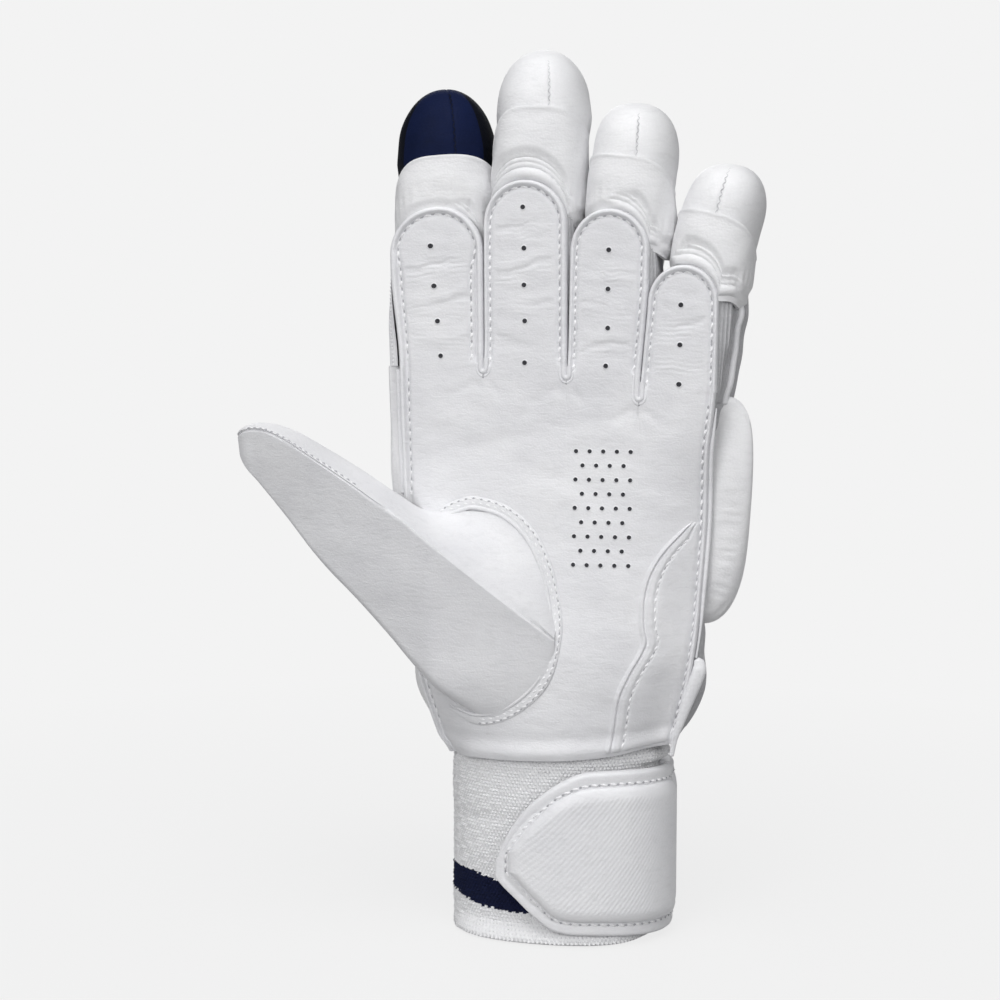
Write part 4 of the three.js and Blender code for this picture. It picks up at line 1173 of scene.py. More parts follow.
def build_sleeves(name, finger, place):
    """Ribbed side and back walls of a finger, which reach under the edges of its front."""
    corner = 5.0
    split = finger["middle"] - SPLIT
    tilt, step = front_tilt(finger)
    outside = {"index": -1, "little": 1}.get(name, 0)
    swell_y, swell = (8.7, 3.5) if outside < 0 else (17, 3.4)  # the outer side's swelling: depth, height
    panel = finger["panel"]
    arc_middle = finger["panel"] - panel_arc(finger)
    bodies = ("hand", f"{name}_base", f"{name}_tip")
    spans = (
        ("lower", 0.0, split, BEND_START, BEND_END),
        ("upper", split, finger["stall"] - 1, split, finger["middle"] + SPLIT),
    )
    count = 170
    for k, (part, low, high, start, end) in enumerate(spans):
        sleeve = Piece(f"{name}_sleeve_{part}_fabric", GREY_RIB_SHADED_SKIN, EDGE_SKIN)
        sleeve.place = lambda points: sway(place(points))
        rows = np.linspace(low, high, 30)

        def wall(inset):
            grid = []
            for z in rows:
                # Beside another finger the wall swells a little below the fingertip's band, and it
                # tucks in under the band.
                below_top = panel - z
                tuck = smooth(-below_top, -16, -4)
                flare = 1.4 * smooth(-below_top, -36, -24) * (1 - smooth(-below_top, -22, -14))
                w = float(half_width(finger, z) - 0.5 - 1.6 * tuck - inset)
                right, left = w + flare * (outside <= 0), w + flare * (outside >= 0)
                back, r = FINGER_DEPTH - inset, corner - inset
                bends = np.radians(np.linspace(0, 90, 8))
                # The lips lie under the front's edges up to its round top, and then draw back.
                follow = 1 - smooth(z, arc_middle, panel - 2)
                middle = (-step - z * math.tan(tilt)) * follow
                under = lerp(w - 0.8, finger["front_half"] - 0.3, follow)
                lip, side = 2.1 + inset + 5.0 * (1 - follow), 5.2 + 4.0 * (1 - follow)
                arcs = [(r * math.cos(a) - r, back - r + r * math.sin(a)) for a in bends]
                outward = INDEX_SPREAD * smooth(z, 0, SPREAD_HEIGHT) * follow if outside < 0 else 0
                line = [(middle + under, lip), (right, side)] + [(right + x, y) for x, y in arcs]
                line += [(-left - x, y) for x, y in arcs[::-1]]
                line += [(-left, side), (middle - under - outward, lip)]
                line = np.array(line)
                along = run_length(line)
                spots = np.linspace(0, along[-1], count)
                x, y = (np.interp(spots, along, line[:, i]) for i in range(2))
                fade = smooth(44 - z, 0, 32) if outside < 0 else smooth(finger["stall"] - 4 - z, 0, 16)
                x = x + outside * swell * hump(y, swell_y, 6.0) * fade * (np.sign(x) == outside)
                grid.append(stack(x, y, z))
            return np.array(grid)

        outer, inner = wall(0.0), wall(SLEEVE)
        out = unit(outer - inner)
        ribs = np.linspace(0, 1, count)[None]
        fade = smooth(np.minimum(ribs, 1 - ribs), 0.0, 0.03)
        rise = 0.2 * np.sin(ribs * 2 * math.pi * RIB_COUNT)
        rise = rise + 0.35 * ripple(ribs * 60, rows[:, None], 4.0, finger["x"])
        skin = 0
        if outside < 0:
            on_side = outer[..., 0] < -4
            rise = np.where(on_side, tape_ridges(outer[..., 1], SLEEVE_SEAM_Y), rise)
            skin = np.where(on_side[:-1, :-1], 1, 0)
        if outside > 0:
            # A light piping runs up the little finger's outer side, behind a hollow.
            rise = rise - 1.4 * hump(outer[..., 1], 8.0, 2.8) * (outer[..., 0] > 4)
        outer = outer + out * (rise * fade)[..., None]
        sleeve.shell(outer, inner, skin=skin)
        if outside > 0:
            piping_y = 12.0
            piping_x = [np.interp(piping_y, row[:, 1], row[:, 0]) for row in outer[:, : count // 4]]
            sleeve.tube(stack(piping_x, piping_y, rows), 1.2, 10, skin=1)
        if outside < 0:
            below = rows < panel
            sew_rope(sleeve, outer[below], out[below], SLEEVE_SEAM_Y, sleeve.slot_of(THREAD_SKIN))
        ends = [place(np.array([0, 0, z])) for z in (start, end)]
        bend = (bodies[k], bodies[k + 1], *ends)
        dress(sleeve, "gusset_fabric", [f"{name}_sleeve_{part}"], bend=bend)


def build_finger_rolls(name, finger, place):
    middle, stall = finger["middle"], finger["stall"]
    navy = name == "index"
    for part, low, high in (("lower", 1.0, middle - 1), ("upper", middle + 1, stall - 1)):

        def seat(u, v, lift, low=low, high=high):
            z = lerp(low, high, 0.5 + v / 2)
            return stack(u * half_width(finger, z), FINGER_DEPTH + lift, z)

        roll = Piece(f"{name}_roll_{part}_pad", WHITE_SKIN, NAVY_SKIN, place=place)
        channel = 0.44 if navy else 0.1
        channels = ((channel, 0.62),) if part == "upper" else ()
        columns, rows = 30, 46
        skin = 0
        if navy and part == "upper":
            # Above its channel the index finger's upper roll is navy.
            v = -np.cos(np.linspace(0, math.pi, rows))
            skin = np.broadcast_to(np.where(v[:-1] >= channel, 1, 0)[:, None], (rows - 1, columns - 1))
        pillow(roll, seat, ROLL, columns, rows, channels, skin, seed=finger["x"] + low)
        body = f"{name}_base" if part == "lower" else f"{name}_tip"
        dress(roll, "white_leather", [f"{name}_roll_{part}"], body)


# Folds of loose leather below each fingertip's band: height above the front, first place round the
# finger in degrees, and half height.
TIP_FOLDS = {
    "index": ((1.3, 286, 0.9), (2.9, 294, 0.7)),
    "middle": ((2.0, 196, 2.0), (4.9, 200, 0.9), (6.5, 206, 0.8)),
    "ring": ((1.5, 258, 1.4), (3.7, 264, 0.9), (5.3, 272, 0.8)),
    "little": ((1.7, 218, 1.7), (4.2, 228, 0.9), (5.7, 250, 0.8)),
}


def build_tip(name, finger, place):
    """The puffed leather band round a fingertip, its folds, and the padded cap."""
    panel, stall, length, shift = (finger[key] for key in ("panel", "stall", "length", "shift"))
    cap_half, cap_step = finger["cap"], finger["cap_step"]
    tilt, step = front_tilt(finger)
    cos, sin = math.cos(tilt), math.sin(tilt)

    def around(turn, grow, power):
        c, s = np.cos(turn), np.sin(turn)
        x = (cap_half + grow) * np.sign(c) * np.abs(c) ** (2 / power)
        y = CAP_HALF_DEPTH + (CAP_HALF_DEPTH + grow) * np.sign(s) * np.abs(s) ** (2 / power)
        return cap_step + x, y

    def front_top(x):
        """Height of the round top of the leaning front at a place across the finger."""
        z = panel + 0 * x
        for _ in range(5):
            across = (x + step) * cos + z * sin
            half = finger["front_half"] + np.where((across < 0) & (name == "index"), INDEX_SPREAD, 0)
            across = np.clip(across / half, -1, 1)
            z = (panel - panel_arc(finger) * (1 - np.sqrt(1 - 0.97 * across**2)) + (x + step) * sin) / cos
        return z

    band = Piece(f"{name}_tip_band", WHITE_SKIN, place=place)
    degrees = np.linspace(184, 356, 121)[None]
    turn = np.radians(degrees)
    v = np.linspace(0, 1, 84)[:, None] ** 1.15
    ahead = degrees - 270 - finger["turn"]
    square = 2.9
    x, _ = around(turn, 0, square)
    edge = front_top(x)
    right = smooth(degrees, 300, 352)
    low = edge - 2.0 - finger["reach"] * right
    drop = np.where(ahead < 0, finger["left_drop"], finger["right_drop"])
    high = np.maximum(stall + 1.6 - drop * np.abs(ahead / 90) ** 2.2, low + 6)
    z = lerp(low, high, v)
    # Above its loose folds the band puffs out.
    begin = finger["fold_start"]
    fading = 1 - smooth(degrees, 304, 326)
    loose = smooth(degrees, begin - 8, begin + 22) * fading
    fold = finger["fold_height"] * loose
    puff = -0.35 - 0.5 * loose * smooth(fold - z + edge, 0, 1.0) + 0.9 * smooth(z - edge - fold, 0, 3.5)
    puff = puff - 0.45 * smooth(v, 0.55, 1.0) + 0.15 * hump(v, 0.975, 0.025)
    puff = puff - 1.2 * right * smooth(3 - z + low, 0, 3)
    if name == "ring":
        puff = puff + 1.5 * smooth(degrees, 312, 345) * smooth(high - z, 0, 12)
    for height, start, half in TIP_FOLDS[name]:
        away = z - edge - height * (1 - 0.55 * right) + (1 + 0.5 * finger["reach"]) * right
        thick = half * (1 - 0.35 * right)
        there = smooth(degrees, start - 8, start + 14) * fading
        puff = puff + 0.75 * thick * there * np.sqrt(np.clip(1 - (away / thick) ** 2, 0, 1))
    tuft = smooth(v, 0.1, 0.3) * smooth(1 - v, 0, 0.1)
    gathers = 0.08 * np.sin(degrees * 0.55 + finger["x"]) * hump(z - edge, 6, 3)
    wrinkles = (0.16 * ripple(degrees * 0.4, z, 3.4, finger["x"]) + gathers) * tuft
    outer, inner = (stack(*around(turn, grow, square), z) for grow in (puff + wrinkles, puff - 1.5))
    band.shell(outer, inner)
    dress(band, "white_leather", [f"{name}_tip_wrap"], f"{name}_tip")

    navy = name == "index"
    skins = (NAVY_SKIN, NAVY_THREAD_SKIN, NAVY_SIDE_SHADE_SKIN) if navy else (WHITE_SKIN, GREY_THREAD_SKIN)
    cap = Piece(f"{name}_tip_pad", *skins, place=place)
    close = np.array([0, 0.7, 1.5, 2.6, 4.2, 6.5, 10])
    spread = np.concatenate([-close[:0:-1], close])
    fill = np.linspace(10, 170, 29)[1:-1]
    front_seam = 270 + finger["seam_turn"]
    places = np.concatenate([spread, fill, 180 + spread, 180 + fill]) + front_seam
    turn = np.radians(places)[None]
    below = [-0.9, -0.7, -0.5, -0.3, -0.12]
    t = np.concatenate([below, np.sin(np.linspace(0, math.pi / 2, 40)) ** 0.9])[:, None]
    t = np.minimum(t, 0.9995)
    inside = np.maximum(t, 0)
    c, s = np.cos(turn), np.sin(turn)
    # Below the band's edge a skirt narrows down inside the band, less far down at the back.
    ahead = smooth(-s, 0.2, 0.9)
    skirt = np.maximum(-t, 0) / 0.9
    size = arch(inside, finger["dome"]) * (1 - skirt * lerp(0.12, 0.27, ahead))
    t = np.where(t < 0, t * lerp(0.5, 1.0, smooth(-s, -0.6, 0.0)), t)
    off_seam = np.sin(turn - math.radians(front_seam)) * size * cap_half
    on_seam = hump(off_seam, 0, 0.4)
    crease = 0.4 * on_seam * smooth(t, -0.1, 0.1)
    if not navy:
        crease = crease * (1 - smooth(t, 0.5, 0.85))
    lean = cap_step + shift * inside
    base_half, base_depth = cap_half - 0.3, CAP_HALF_DEPTH - 0.3

    def around_cap(c, s, size, crease):
        x = (base_half * size - crease * np.abs(c)) * np.sign(c) * np.abs(c) ** (2 / 2.3)
        return x, (base_depth * size - crease * np.abs(s)) * np.sign(s) * np.abs(s) ** (2 / 2.3)

    x, y = around_cap(c, s, size, crease)
    z = lerp(stall, length, t) - 0.1 * on_seam * smooth(t, 0.6, 1.0) * navy
    soft = 1 + 0.014 * ripple(np.degrees(turn) * 0.2, z, 4.0, finger["x"] + 3)
    rings = stack(lean + x * soft, CAP_HALF_DEPTH + y * soft, z)
    bottom = (cap_step, CAP_HALF_DEPTH, z[0].max())
    ends = np.array([bottom, (cap_step + shift, CAP_HALF_DEPTH, length - 0.2)])
    # The navy cap's sides are painted darker, as shade.
    sideways = half_turn(places - 270)
    dark = ((sideways > -138) & (sideways < -42)) | ((sideways > 60) & (sideways < 122))
    skin = np.where(navy & dark, 2, 0)
    cap.capped(rings, ends, np.tile(skin, len(rings) - 1))
    # The seam up the front and down the back is sewn with a zig-zag.
    share = np.linspace(0.02, 0.9 if navy or name == "little" else 0.78, 60)
    for place in (front_seam, front_seam - 180):
        c, s = math.cos(math.radians(place)), math.sin(math.radians(place))
        x, y = around_cap(c, s, arch(share, finger["dome"]), 0.15)
        path = stack(cap_step + shift * share + x, CAP_HALF_DEPTH + y, lerp(stall, length, share))
        out = unit(stack(c * (1 - share**3), s * (1 - share**3), share**3))
        cap.stitches(path, out, pitch=1.2, length=1.6, radius=0.15, slant=0.6, tilt=0, draw_pit_shade=False)
    dress(cap, "navy_leather" if navy else "white_leather", [f"{name}_tip_cap"], f"{name}_tip")


# Thumb

seam_rows = [(9.0, 101.5), (-6, 114), (-18.3, 124.1), (-31, 134.6), (-41.5, 142.9), (-50.5, 150.1)]
seam_rows += [(-57.8, 155.6), (-66.5, 161.1), (-76, 166.3), (-83.4, 169.2), (-90.9, 171.4), (-98, 172.4)]
thumb_seam = profile(seam_rows + [(-103.2, 171.6), (THUMB_TIP_X, 169.0)])
THUMB_CHANNELS = (-66, -80, -92)  # where the padded back is sewn across
thumb_depths = ((0, 24), (0.35, 21), (0.67, 15), (0.89, 7.5), (0.97, 4.3), (1, 0.4))
thumb_back_rows = profile([(thumb_at(share), depth) for share, depth in thumb_depths])


def thumb_front_surface(x, q):
    """The thumb's front leather: a broad lower facet and a narrow upper one that meet at a seam."""
    low, high, crest = np.moveaxis(thumb_rows(x), -1, 0)
    seam_z = np.clip(thumb_seam(x)[..., 0], lerp(low, high, 0.3), high - 1.0)
    seam = (seam_z - low) / (high - low) * 2 - 1
    z = lerp(low, high, 0.5 + q / 2)
    below = np.clip((q + 1) / (seam + 1), 0, 1)
    above = np.clip((q - seam) / (1 - seam), 0, 1)
    # On the thumb the lower facet is nearly flat above a rounded lower edge; on the hand it swells up.
    edge = round_over(below, 0.12)
    swell = 0.64 * below + 0.3 * (1 - (1 - below) ** 4)
    rise_below = lerp((0.6 + 0.4 * below) * edge, swell, smooth(x, -36, -14))
    mound = 0.96 * (1 - above) ** 1.6 - 0.1 * hump(above, 0, 0.14)
    rise_above = lerp(arch(above, 1.9), mound, smooth(x, -52, -38))
    rise = np.where(q < seam, rise_below, rise_above)
    on_palm = palm_base(np.maximum(x, -48), z) - 0.7
    foot = lerp(THUMB_FOOT_Y + 0 * x, on_palm, smooth(x, -48, -34))
    y = lerp(foot, crest, rise)
    off_seam = (q - seam) * (high - low) / 2
    groove = 1.0 * hump(off_seam, -0.3, 0.35) - 0.35 * hump(off_seam, 0.9, 0.7)
    inside = smooth(1 - np.abs(q), 0.0, 0.12)
    folds = (0.55 * ripple(x, z, 11.0, 0.9) + 0.15 * ripple(x, z, 4.2, 2.7)) * inside * smooth(-q, -0.9, -0.2)
    return stack(x, y + groove * inside + folds, z), seam


def build_thumb():
    front = Piece("thumb_leather", PALM_SKIN, THREAD_SKIN)
    shares = np.linspace(0, 1, 130)
    x = lerp(MOUND_RIGHT_X, THUMB_TIP_X, 0.5 - 0.5 * np.cos(np.pi * shares))[:, None]
    _, seam = thumb_front_surface(x, 0 * x)
    below = np.concatenate([-np.cos(np.linspace(0, math.pi / 2, 26)), np.linspace(0, 1, 26)[1:] ** 0.6])
    below = (below + 1) / 2
    above = np.sin(np.linspace(0, math.pi / 2, 22))[None, 1:]
    q = np.concatenate([-1 + (seam + 1) * below[None], seam + (1 - seam) * above], 1)
    outer, _ = thumb_front_surface(x + 0 * q, q)
    inner = outer + [0, LEATHER, 0]
    front.shell(outer, inner)
    run = np.linspace(-103, -60, 200)
    _, seam = thumb_front_surface(run, 0 * run)
    path, _ = thumb_front_surface(run, seam + 0.012)
    front.stitches(path + [0, 0, 0.15], unit(np.array([0, -1, 0.6])), pitch=2.6, length=1.5, radius=0.2)
    bend = ("hand", "thumb", np.array([-43.0, -20, 126]), np.array([-61.0, -20, 126]))
    dress(front, "palm_leather", ["thumb_mound", "thumb_front"], bend=bend, sharp=40)

    # A raised double-sewn welt goes round the thumb's root on the palm.
    welt = Piece("thumb_root_welt", PALM_SKIN, THREAD_SKIN)
    outer_row = [(-37.5, 141.8), (-34.5, 145.2), (-29, 148.0), (-22.4, 149.0), (-11.1, 145.5), (-1.2, 135.9)]
    outer_row += [(5.5, 119.5), (7.2, 103.3), (2.9, 88.3), (-8.4, 77.6), (-21, 73.8), (-32, 76.4)]
    line = smooth_path([(x, 0, z) for x, z in outer_row], 160)
    points, normals = lay(palm_base, line[:, 0], line[:, 2], 0.2)
    side = unit(np.cross(unit(np.gradient(points, axis=0)), normals))
    root_middle = np.array([-20, 0, 112])
    side = side * np.sign(np.sum(side * (root_middle - points), -1, keepdims=True))
    narrow = lerp(0.2, 1.0, smooth(np.linspace(1, 0, len(points)), 0, 0.12))
    welt.tube(points + side * 1.3, 2.1 * narrow, 18, flat=0.24, normals=normals)
    welt.tube(points + side * 3.0 + normals * 0.3, 0.75 * narrow, 12, normals=normals)
    sewn = slice(0, -16)  # the last stretch is bare
    for offset in (0.05, 1.4):
        line = points + side * offset + normals * 0.4
        welt.stitches(line[sewn], normals[sewn], pitch=2.7, length=1.9, radius=0.32)
    dress(welt, "white_leather", ["thumb_welt"], "hand")

    # The padded back is sewn across in channels.
    pad = Piece("thumb_back_pad", WHITE_SKIN, THREAD_SKIN)
    x = lerp(THUMB_PLANE_X, THUMB_TIP_X, np.linspace(0, 1, 90))[:, None]
    q = -np.cos(np.linspace(0, math.pi, 41))[None]

    def rear(x, q, inset):
        low, high, _ = np.moveaxis(thumb_rows(x), -1, 0)
        high = high - 3.0 * smooth(high - low, 4, 16)  # the pad lies a little below the front's upper edge
        room = np.minimum(inset, (high - low) * 0.42)
        z = lerp(low + room, high - room, 0.5 + q / 2)
        crest = np.maximum(THUMB_FOOT_Y + 0.6, thumb_back_rows(x)[..., 0] - inset)
        return stack(x, lerp(THUMB_FOOT_Y + GAP, crest, arch(q)), z)

    dips = sum(hump(x, place, 1.3) for place in THUMB_CHANNELS)
    inset = 0.25 + 2.2 * dips * arch(q) + 0.25 * ripple(x, q * 20, 5.0, 1.0) * arch(q)
    x, q = np.broadcast_arrays(x, q)
    pad.shell(rear(x, q, inset), rear(x, q, np.full(x.shape, 8.0)))
    run = np.linspace(-0.75, 0.75, 60)
    for place in THUMB_CHANNELS:
        points = rear(np.full_like(run, place), run, np.full_like(run, 2.3))
        pad.stitches(points, [0, 1, 0], pitch=2.8, length=2.0, radius=0.26)
    dress(pad, "white_leather", ["thumb_roll"], "thumb")
    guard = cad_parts["thumb_guard"]
    guard.data.materials.clear()
    guard.data.materials.append(GUARD_SKIN)


# Cuff and strap


def cuff_point(degrees, lift, z):
    """A point round the cuff, from its front middle towards the little finger, lifted off it."""
    turn = np.radians(degrees)
    bend = lambda t: np.sign(t) * np.abs(t) ** (2 / CUFF_ROUNDNESS)
    across = bend(np.sin(turn))
    # The cuff is drawn in a little on the thumb's side.
    x = (CUFF_HALF_WIDTH + lift) * across + 2.0 * np.maximum(0, -across) ** 2
    return stack(x, CUFF_MIDDLE_Y - (CUFF_HALF_DEPTH + lift) * bend(np.cos(turn)), z)


def cuff_line(degrees, lift, z):
    """Points of a line on the cuff, and the directions that stand on it there."""
    points = cuff_point(degrees, lift, z)
    return points, unit(cuff_point(degrees, lift + 1, z) - points)


def build_cuff():
    cuff = Piece("knit_cuff", KNIT_SKIN, NAVY_KNIT_SKIN, KNIT_SHADE_SKIN)
    wales, per_wale = 150, 4
    courses, per_course = 64, 2
    columns = wales * per_wale
    rows = courses * per_course + 1
    # Columns stand an even distance apart round the oval.
    fine = np.linspace(0, 360, 1441)
    loop = cuff_point(fine, 0, 0)
    length = run_length(loop)
    degrees = np.interp(np.arange(columns) / columns * length[-1], length, fine)[None]
    z = np.linspace(0, CUFF_TOP_Z, rows)[:, None]
    wale = np.arange(columns)[None] / per_wale
    course = np.arange(rows)[:, None] / per_course
    row = np.floor(course)
    bump_across = np.abs(np.sin(math.pi * (wale + 0.5 * (row % 2))))
    bump_along = np.abs(np.sin(math.pi * course))
    uneven = 0.8 + 0.35 * ripple(wale * 3.1, row * 2.3, 1.7, 0.9)
    knit = 0.95 * bump_across**0.7 * (0.2 + 0.8 * bump_along**0.6) * uneven
    rounded = 0.7 * (1 - round_over(z, 2.2))
    turn = half_turn(degrees)
    sag = 0.5 * ripple(degrees * 0.5, z, 7.0, 0.3) * smooth(z, 0, 6)
    sag = sag - 0.9 * hump(z - 0.05 * degrees, 24, 2.2) * hump(turn, -38, 24)
    hem = np.where(np.abs(turn) < 90, hem_height(cuff_point(degrees, 0, 0)[..., 0]), HEM_Z)
    tuck = 1.2 * smooth(z, hem - 2, hem + 3)
    flare = 4.2 * smooth(6.5 - z, 0, 6.5) * smooth(np.cos(np.radians(turn)), 0.2, 0.9)
    # Above the strap the knit bulges out on the little finger's side.
    bulge = 4.0 * hump(turn, 88, 26) * smooth(z, 58.5, 61.5) * smooth(67 - z, 0, 5)
    lift = knit - 0.5 - rounded + sag * 0.6 - tuck + flare + bulge
    outer = cuff_point(degrees, lift, z)
    inner = cuff_point(degrees, -CUFF_WALL + rounded * 0.6 + flare * 0.5, z)
    # A navy stripe with stepped edges runs round the lower cuff and narrows towards the strap.
    middle_z = (z[:-1] + z[1:]) / 2
    tooth = 0.4 * (np.floor(wale) % 2)
    stripe_low = np.interp(turn, (-60, -38, -21, -5), (11.8, 9.9, 9.2, 9.0))
    stripe_high = np.interp(turn, (-58, -38, -22, -5), (21.4, 20.9, 19.2, 17.5))
    stripe = (middle_z > stripe_low + tooth) & (middle_z < stripe_high + tooth)
    # Cells in the valleys between the loops take painted shade.
    loop_gap_shade = (bump_across[:-1] + bump_across[1:]) / 2 < 0.4
    cuff.shell(outer, inner, ring=True, skin=np.where(stripe, 1, np.where(loop_gap_shade, 2, 0)))
    dress(cuff, "knit", ["cuff"], "hand", sharp=75)


TAB_TIP, TAB_HINGE = -18.6, 88.0
tab_top = [(TAB_TIP, 24.6), (-17.8, 26.6), (-15.9, 31), (-11.1, 38.4), (-4.6, 45.4), (3.1, 51.8)]
tab_low = [(TAB_TIP, 23.4), (-17.8, 21.8), (-16.3, 20.4), (-7.4, 14.6), (-2, 10.6), (5.2, 5.6)]
STRAP_TOP = profile(tab_top + [(13.5, 56.9), (20.9, 58.9), (32, 59.4), (60, 59), (TAB_HINGE, 58)])
STRAP_LOW = profile(tab_low + [(9.4, 4.4), (29, 3.4), (60, 2.0), (TAB_HINGE, 1.1)])
ANCHOR_LOW, ANCHOR_HIGH = 1.1, 58.0
ANCHOR_START, ANCHOR_END = 89, 215  # degrees round the cuff
TAPE_LOW, TAPE_HIGH = 18, 47
TAPE_START, TAPE_END = 3, 40  # degrees round the cuff
DEGREE = 0.72  # millimetres along the strap in a degree round the cuff
TAB_BASE, TAB_ROLL = 2.9, 1.9  # the leather's lift off the cuff at its edge, and its rise from there
EMBOSS = 0.09


def build_strap():
    tip = TAB_TIP + 6 * np.linspace(0, 1, 14) ** 1.6
    columns = np.concatenate([tip, np.linspace(TAB_TIP + 6, TAB_HINGE, 90)[1:]])
    share = 0.5 - 0.5 * np.cos(np.linspace(0, math.pi, 44))

    def outline(inset):
        """Angle and heights of the tab's outline, pulled in from its edge."""
        angle = np.clip(columns, TAB_TIP + inset * 1.5, TAB_HINGE)
        low, high = STRAP_LOW(angle)[:, 0], STRAP_TOP(angle)[:, 0]
        tight = 1 + 0.55 * smooth(-angle, -12, 8)
        middle = (low + high) / 2
        return angle, np.minimum(low + inset * tight, middle), np.maximum(high - inset * tight, middle)

    def layer(inset, lift_at, base):
        angle, low, high = outline(inset)
        z = lerp(low[:, None], high[:, None], share[None])
        edge = np.minimum(z - low[:, None], high[:, None] - z)
        edge = np.minimum(edge, (angle[:, None] - angle[0]) * DEGREE)
        lift = lift_at(edge, angle[:, None], z)
        return cuff_point(angle[:, None], lift, z), cuff_point(angle[:, None], base + 0 * z, z)

    tab = Piece("strap_tab_leather", STRAP_SKIN, THREAD_SKIN, TAPE_SKIN)
    seam_inset = 4.2
    rolled = lambda edge: TAB_BASE + TAB_ROLL * round_over(edge, 1.2)
    flat = lambda edge, angle, z: rolled(edge) - 0.45 * hump(edge, seam_inset, 0.6)
    tab.shell(*layer(0.0, flat, 2.5), lining=2)

    def seam(inset, lift):
        """A line round the tab, inside its edge, from the hinge over the tip and back."""
        angle, low, high = outline(inset)
        line_angle = np.concatenate([angle[::-1], angle])
        line_z = np.concatenate([high[::-1], low])
        return cuff_line(line_angle, lift, line_z)

    tab.stitches(*seam(seam_inset, 4.75), pitch=3.2, length=2.4)
    dress(tab, "white_leather", ["strap_tab"], "strap")

    face = Piece("strap_pad", STRAP_SKIN)

    def puff(edge, angle, z):
        soft = round_over(edge, 5.0)
        across = angle * 0.66
        emboss = EMBOSS * np.abs(np.sin((z * 0.62 - across * 0.78) * 2.3)) * smooth(edge, 1.5, 4)
        weave = 0.01 * np.sin((z * 0.78 + across * 0.62) * 2.6) * smooth(edge, 1.5, 4)
        return 4.75 + 2.4 * soft + emboss + weave

    columns = np.concatenate([tip + 7.8, np.linspace(TAB_TIP + 13.8, TAB_HINGE - 5.5, 240)[1:]])
    share = 0.5 - 0.5 * np.cos(np.linspace(0, math.pi, 170))
    face.shell(*layer(5.1, puff, 4.5))
    dress(face, "white_leather", ["strap_face"], "strap")

    anchor = Piece("strap_anchor_leather", STRAP_SKIN, THREAD_SKIN, TAPE_SKIN)
    angle = np.linspace(ANCHOR_START, ANCHOR_END, 220)[:, None]
    z = lerp(ANCHOR_LOW, ANCHOR_HIGH, 0.5 - 0.5 * np.cos(np.linspace(0, math.pi, 110)))[None]
    edge = np.minimum(np.minimum(z - ANCHOR_LOW, ANCHOR_HIGH - z), (ANCHOR_END - angle) * DEGREE)
    puffed = 1.1 * round_over(np.maximum(edge - 5, 0), 5) * smooth(angle, ANCHOR_START, ANCHOR_START + 7)
    emboss = EMBOSS * np.abs(np.sin((z * 0.62 - angle * 0.515) * 2.3)) * smooth(edge, 7, 10)
    row = 3.9
    lift = rolled(edge) - 0.3 * hump(edge, row, 0.6) + puffed + emboss
    anchor.shell(cuff_point(angle, lift, z), cuff_point(angle, GAP + 0 * z, z), lining=2)
    run = np.linspace(ANCHOR_START + 1, ANCHOR_END - 4, 120)
    rise = np.linspace(ANCHOR_LOW + 4.5, ANCHOR_HIGH - 4.5, 60)
    for degrees, height in ((run, ANCHOR_LOW + row), (run, ANCHOR_HIGH - row), (run[-1], rise)):
        anchor.stitches(*cuff_line(degrees, 4.85, height), pitch=3.4, length=2.6)
    dress(anchor, "white_leather", ["strap_anchor"], "hand")

    # Loop tape on the cuff and hook tape under the tab, with their pile as small humps.
    angle = np.linspace(TAPE_START, TAPE_END, 120)[:, None]
    z = np.linspace(TAPE_LOW, TAPE_HIGH, 120)[None]
    side_edge = np.minimum(angle - TAPE_START, TAPE_END - angle) * 0.7
    edge = np.minimum(np.minimum(z - TAPE_LOW, TAPE_HIGH - z), side_edge)
    pile = 0.35 * np.abs(np.sin(angle * 2.1) * np.sin(z * 2.4)) * smooth(edge, 0.4, 1.4)
    # Lift of each tape's face and of its backing off the cuff
    tapes = (("loop_tape", GAP + 0.44 + pile, GAP), ("hook_tape", 1.76 - pile, 2.2))
    for name, face_lift, back_lift in tapes:
        tape = Piece(f"{name}_pile", TAPE_SKIN)
        tape.shell(cuff_point(angle, face_lift, z), cuff_point(angle, back_lift + 0 * z, z))
        dress(tape, "tape", [name], "hand" if name == "loop_tape" else "strap")


# Studio


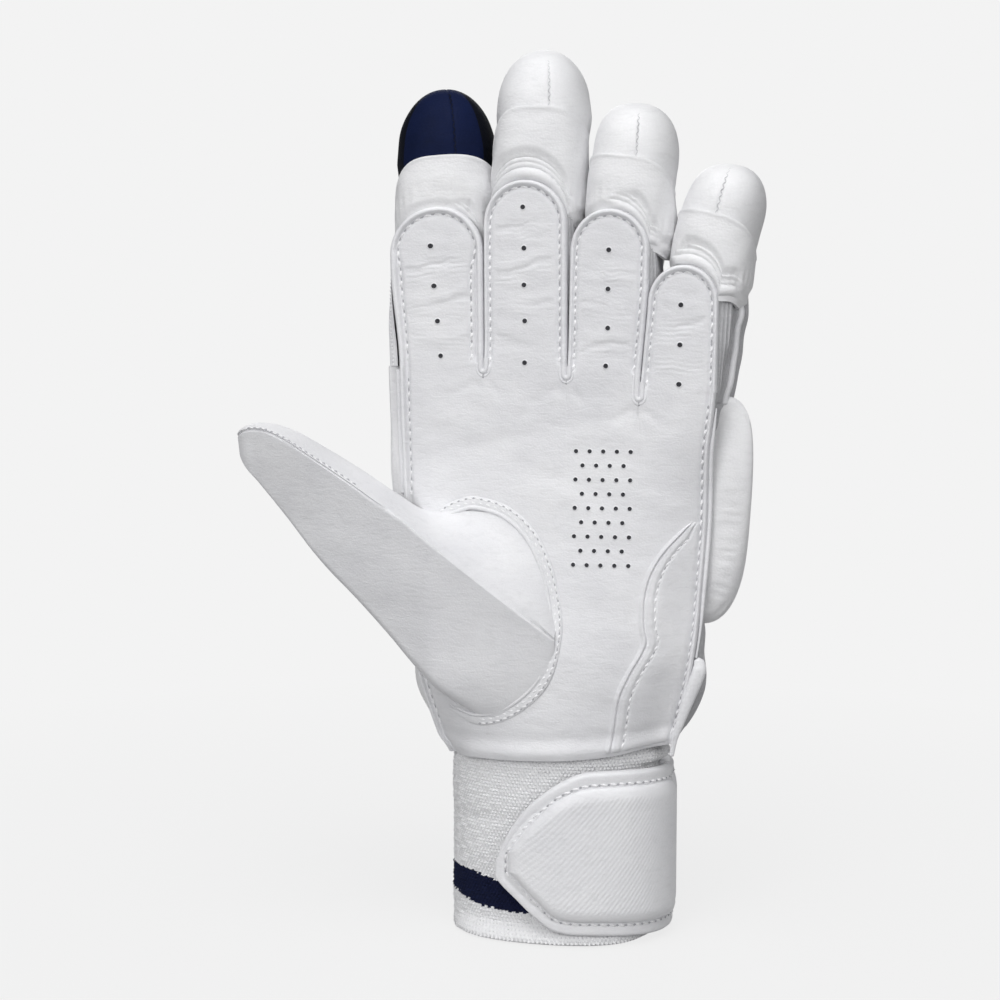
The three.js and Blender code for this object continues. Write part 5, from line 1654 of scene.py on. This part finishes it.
def build_studio():
    scene = bpy.context.scene
    scene.view_settings.view_transform = "Standard"

    azimuth, elevation = math.radians(13.65), math.radians(5.2)
    distance, view_angle = 620, math.radians(30.7)
    target = metres([-16.4, 5, 148.2])
    level = math.cos(elevation)
    away = np.array([math.sin(azimuth) * level, -math.cos(azimuth) * level, math.sin(elevation)])
    data = bpy.data.cameras.new("camera")
    data.sensor_fit = "HORIZONTAL"
    data.angle = view_angle
    data.clip_start = 0.01
    camera = bpy.data.objects.new("camera", data)
    camera.location = target + away * distance * 0.001
    camera.rotation_euler = Vector(-away).to_track_quat("-Z", "Y").to_euler()
    scene.collection.objects.link(camera)
    scene.camera = camera

    backdrop_level = srgb(243, 243, 243)
    floor_mesh = bpy.data.meshes.new("floor")
    turn, radius, drop = circle(64), 3, 0.0006
    corners = stack(radius * np.cos(turn), radius * np.sin(turn), -drop)
    floor_mesh.from_pydata(corners.tolist(), [], [list(range(len(turn)))])
    floor = bpy.data.objects.new("floor", floor_mesh)
    scene.collection.objects.link(floor)
    # The camera sees an even backdrop, into which the shaded floor runs near the glove.
    skin = Skin("pale floor")
    seen = skin.node("ShaderNodeLightPath").outputs
    view = skin.math("MAXIMUM", seen["Is Camera Ray"], seen["Is Glossy Ray"])
    view = skin.math("MAXIMUM", view, seen["Is Transmission Ray"])
    reach = skin.result("ShaderNodeVectorMath", "Value", {0: skin.place}, operation="LENGTH")
    plain = skin.math("MULTIPLY", view, skin.between(reach, 0.1, 0.45, 0.88, 1.0))
    glow = skin.result("ShaderNodeEmission", 0, {"Color": backdrop_level})
    skin.set(Base_Color=skin.mix(view, srgb(150, 150, 150), srgb(232, 232, 232)), Roughness=0.9)
    surface = skin.result("ShaderNodeMixShader", 0, {0: plain, 1: skin.shader.outputs[0], 2: glow})
    skin.put(skin.tree.nodes["Material Output"].inputs["Surface"], surface)
    floor_mesh.materials.append(skin.material)

    world = bpy.data.worlds.new("studio")
    world.use_nodes = True
    scene.world = world
    sky = Nodes(world.node_tree)
    shown = sky.tree.nodes["Background"]
    shown.inputs["Color"].default_value = backdrop_level
    room = sky.result("ShaderNodeBackground", 0, {"Color": (0.97, 0.98, 1.0, 1), "Strength": 0.2})
    seen = sky.node("ShaderNodeLightPath").outputs
    view = sky.math("MAXIMUM", seen["Is Camera Ray"], seen["Is Transmission Ray"])
    chosen = sky.result("ShaderNodeMixShader", 0, {0: view, 1: room, 2: shown.outputs[0]})
    sky.put(sky.tree.nodes["World Output"].inputs["Surface"], chosen)

    # Name, place and width in metres, and power in watts
    lamps = (
        ("top", (0.1, -0.55, 1.6), 1.2, 12.8),
        ("key", (-0.4, -1.5, 0.8), 1.0, 12.0),
        ("fill", (1.2, -1.1, 0.7), 0.9, 5.5),
        ("rear", (-0.4, 1.4, 0.8), 1.0, 5.0),
    )
    for name, place, size, power in lamps:
        light = bpy.data.lights.new(name, "AREA")
        light.shape = "DISK"
        light.size = size
        light.energy = power
        lamp = bpy.data.objects.new(name, light)
        lamp.location = place
        lamp.rotation_euler = (Vector((0, 0, 0.14)) - Vector(place)).to_track_quat("-Z", "Y").to_euler()
        scene.collection.objects.link(lamp)


build_studio()
build_palm()
build_heel_patch()
build_hand_shell()
build_back_rolls()
for finger_name, finger in FINGERS.items():
    to_drawing = turned(finger["x"], finger["root"], finger["lean"])
    build_front(finger_name, finger)
    build_sleeves(finger_name, finger, to_drawing)
    build_finger_rolls(finger_name, finger, to_drawing)
    build_tip(finger_name, finger, to_drawing)
build_thumb()
build_cuff()
build_strap()

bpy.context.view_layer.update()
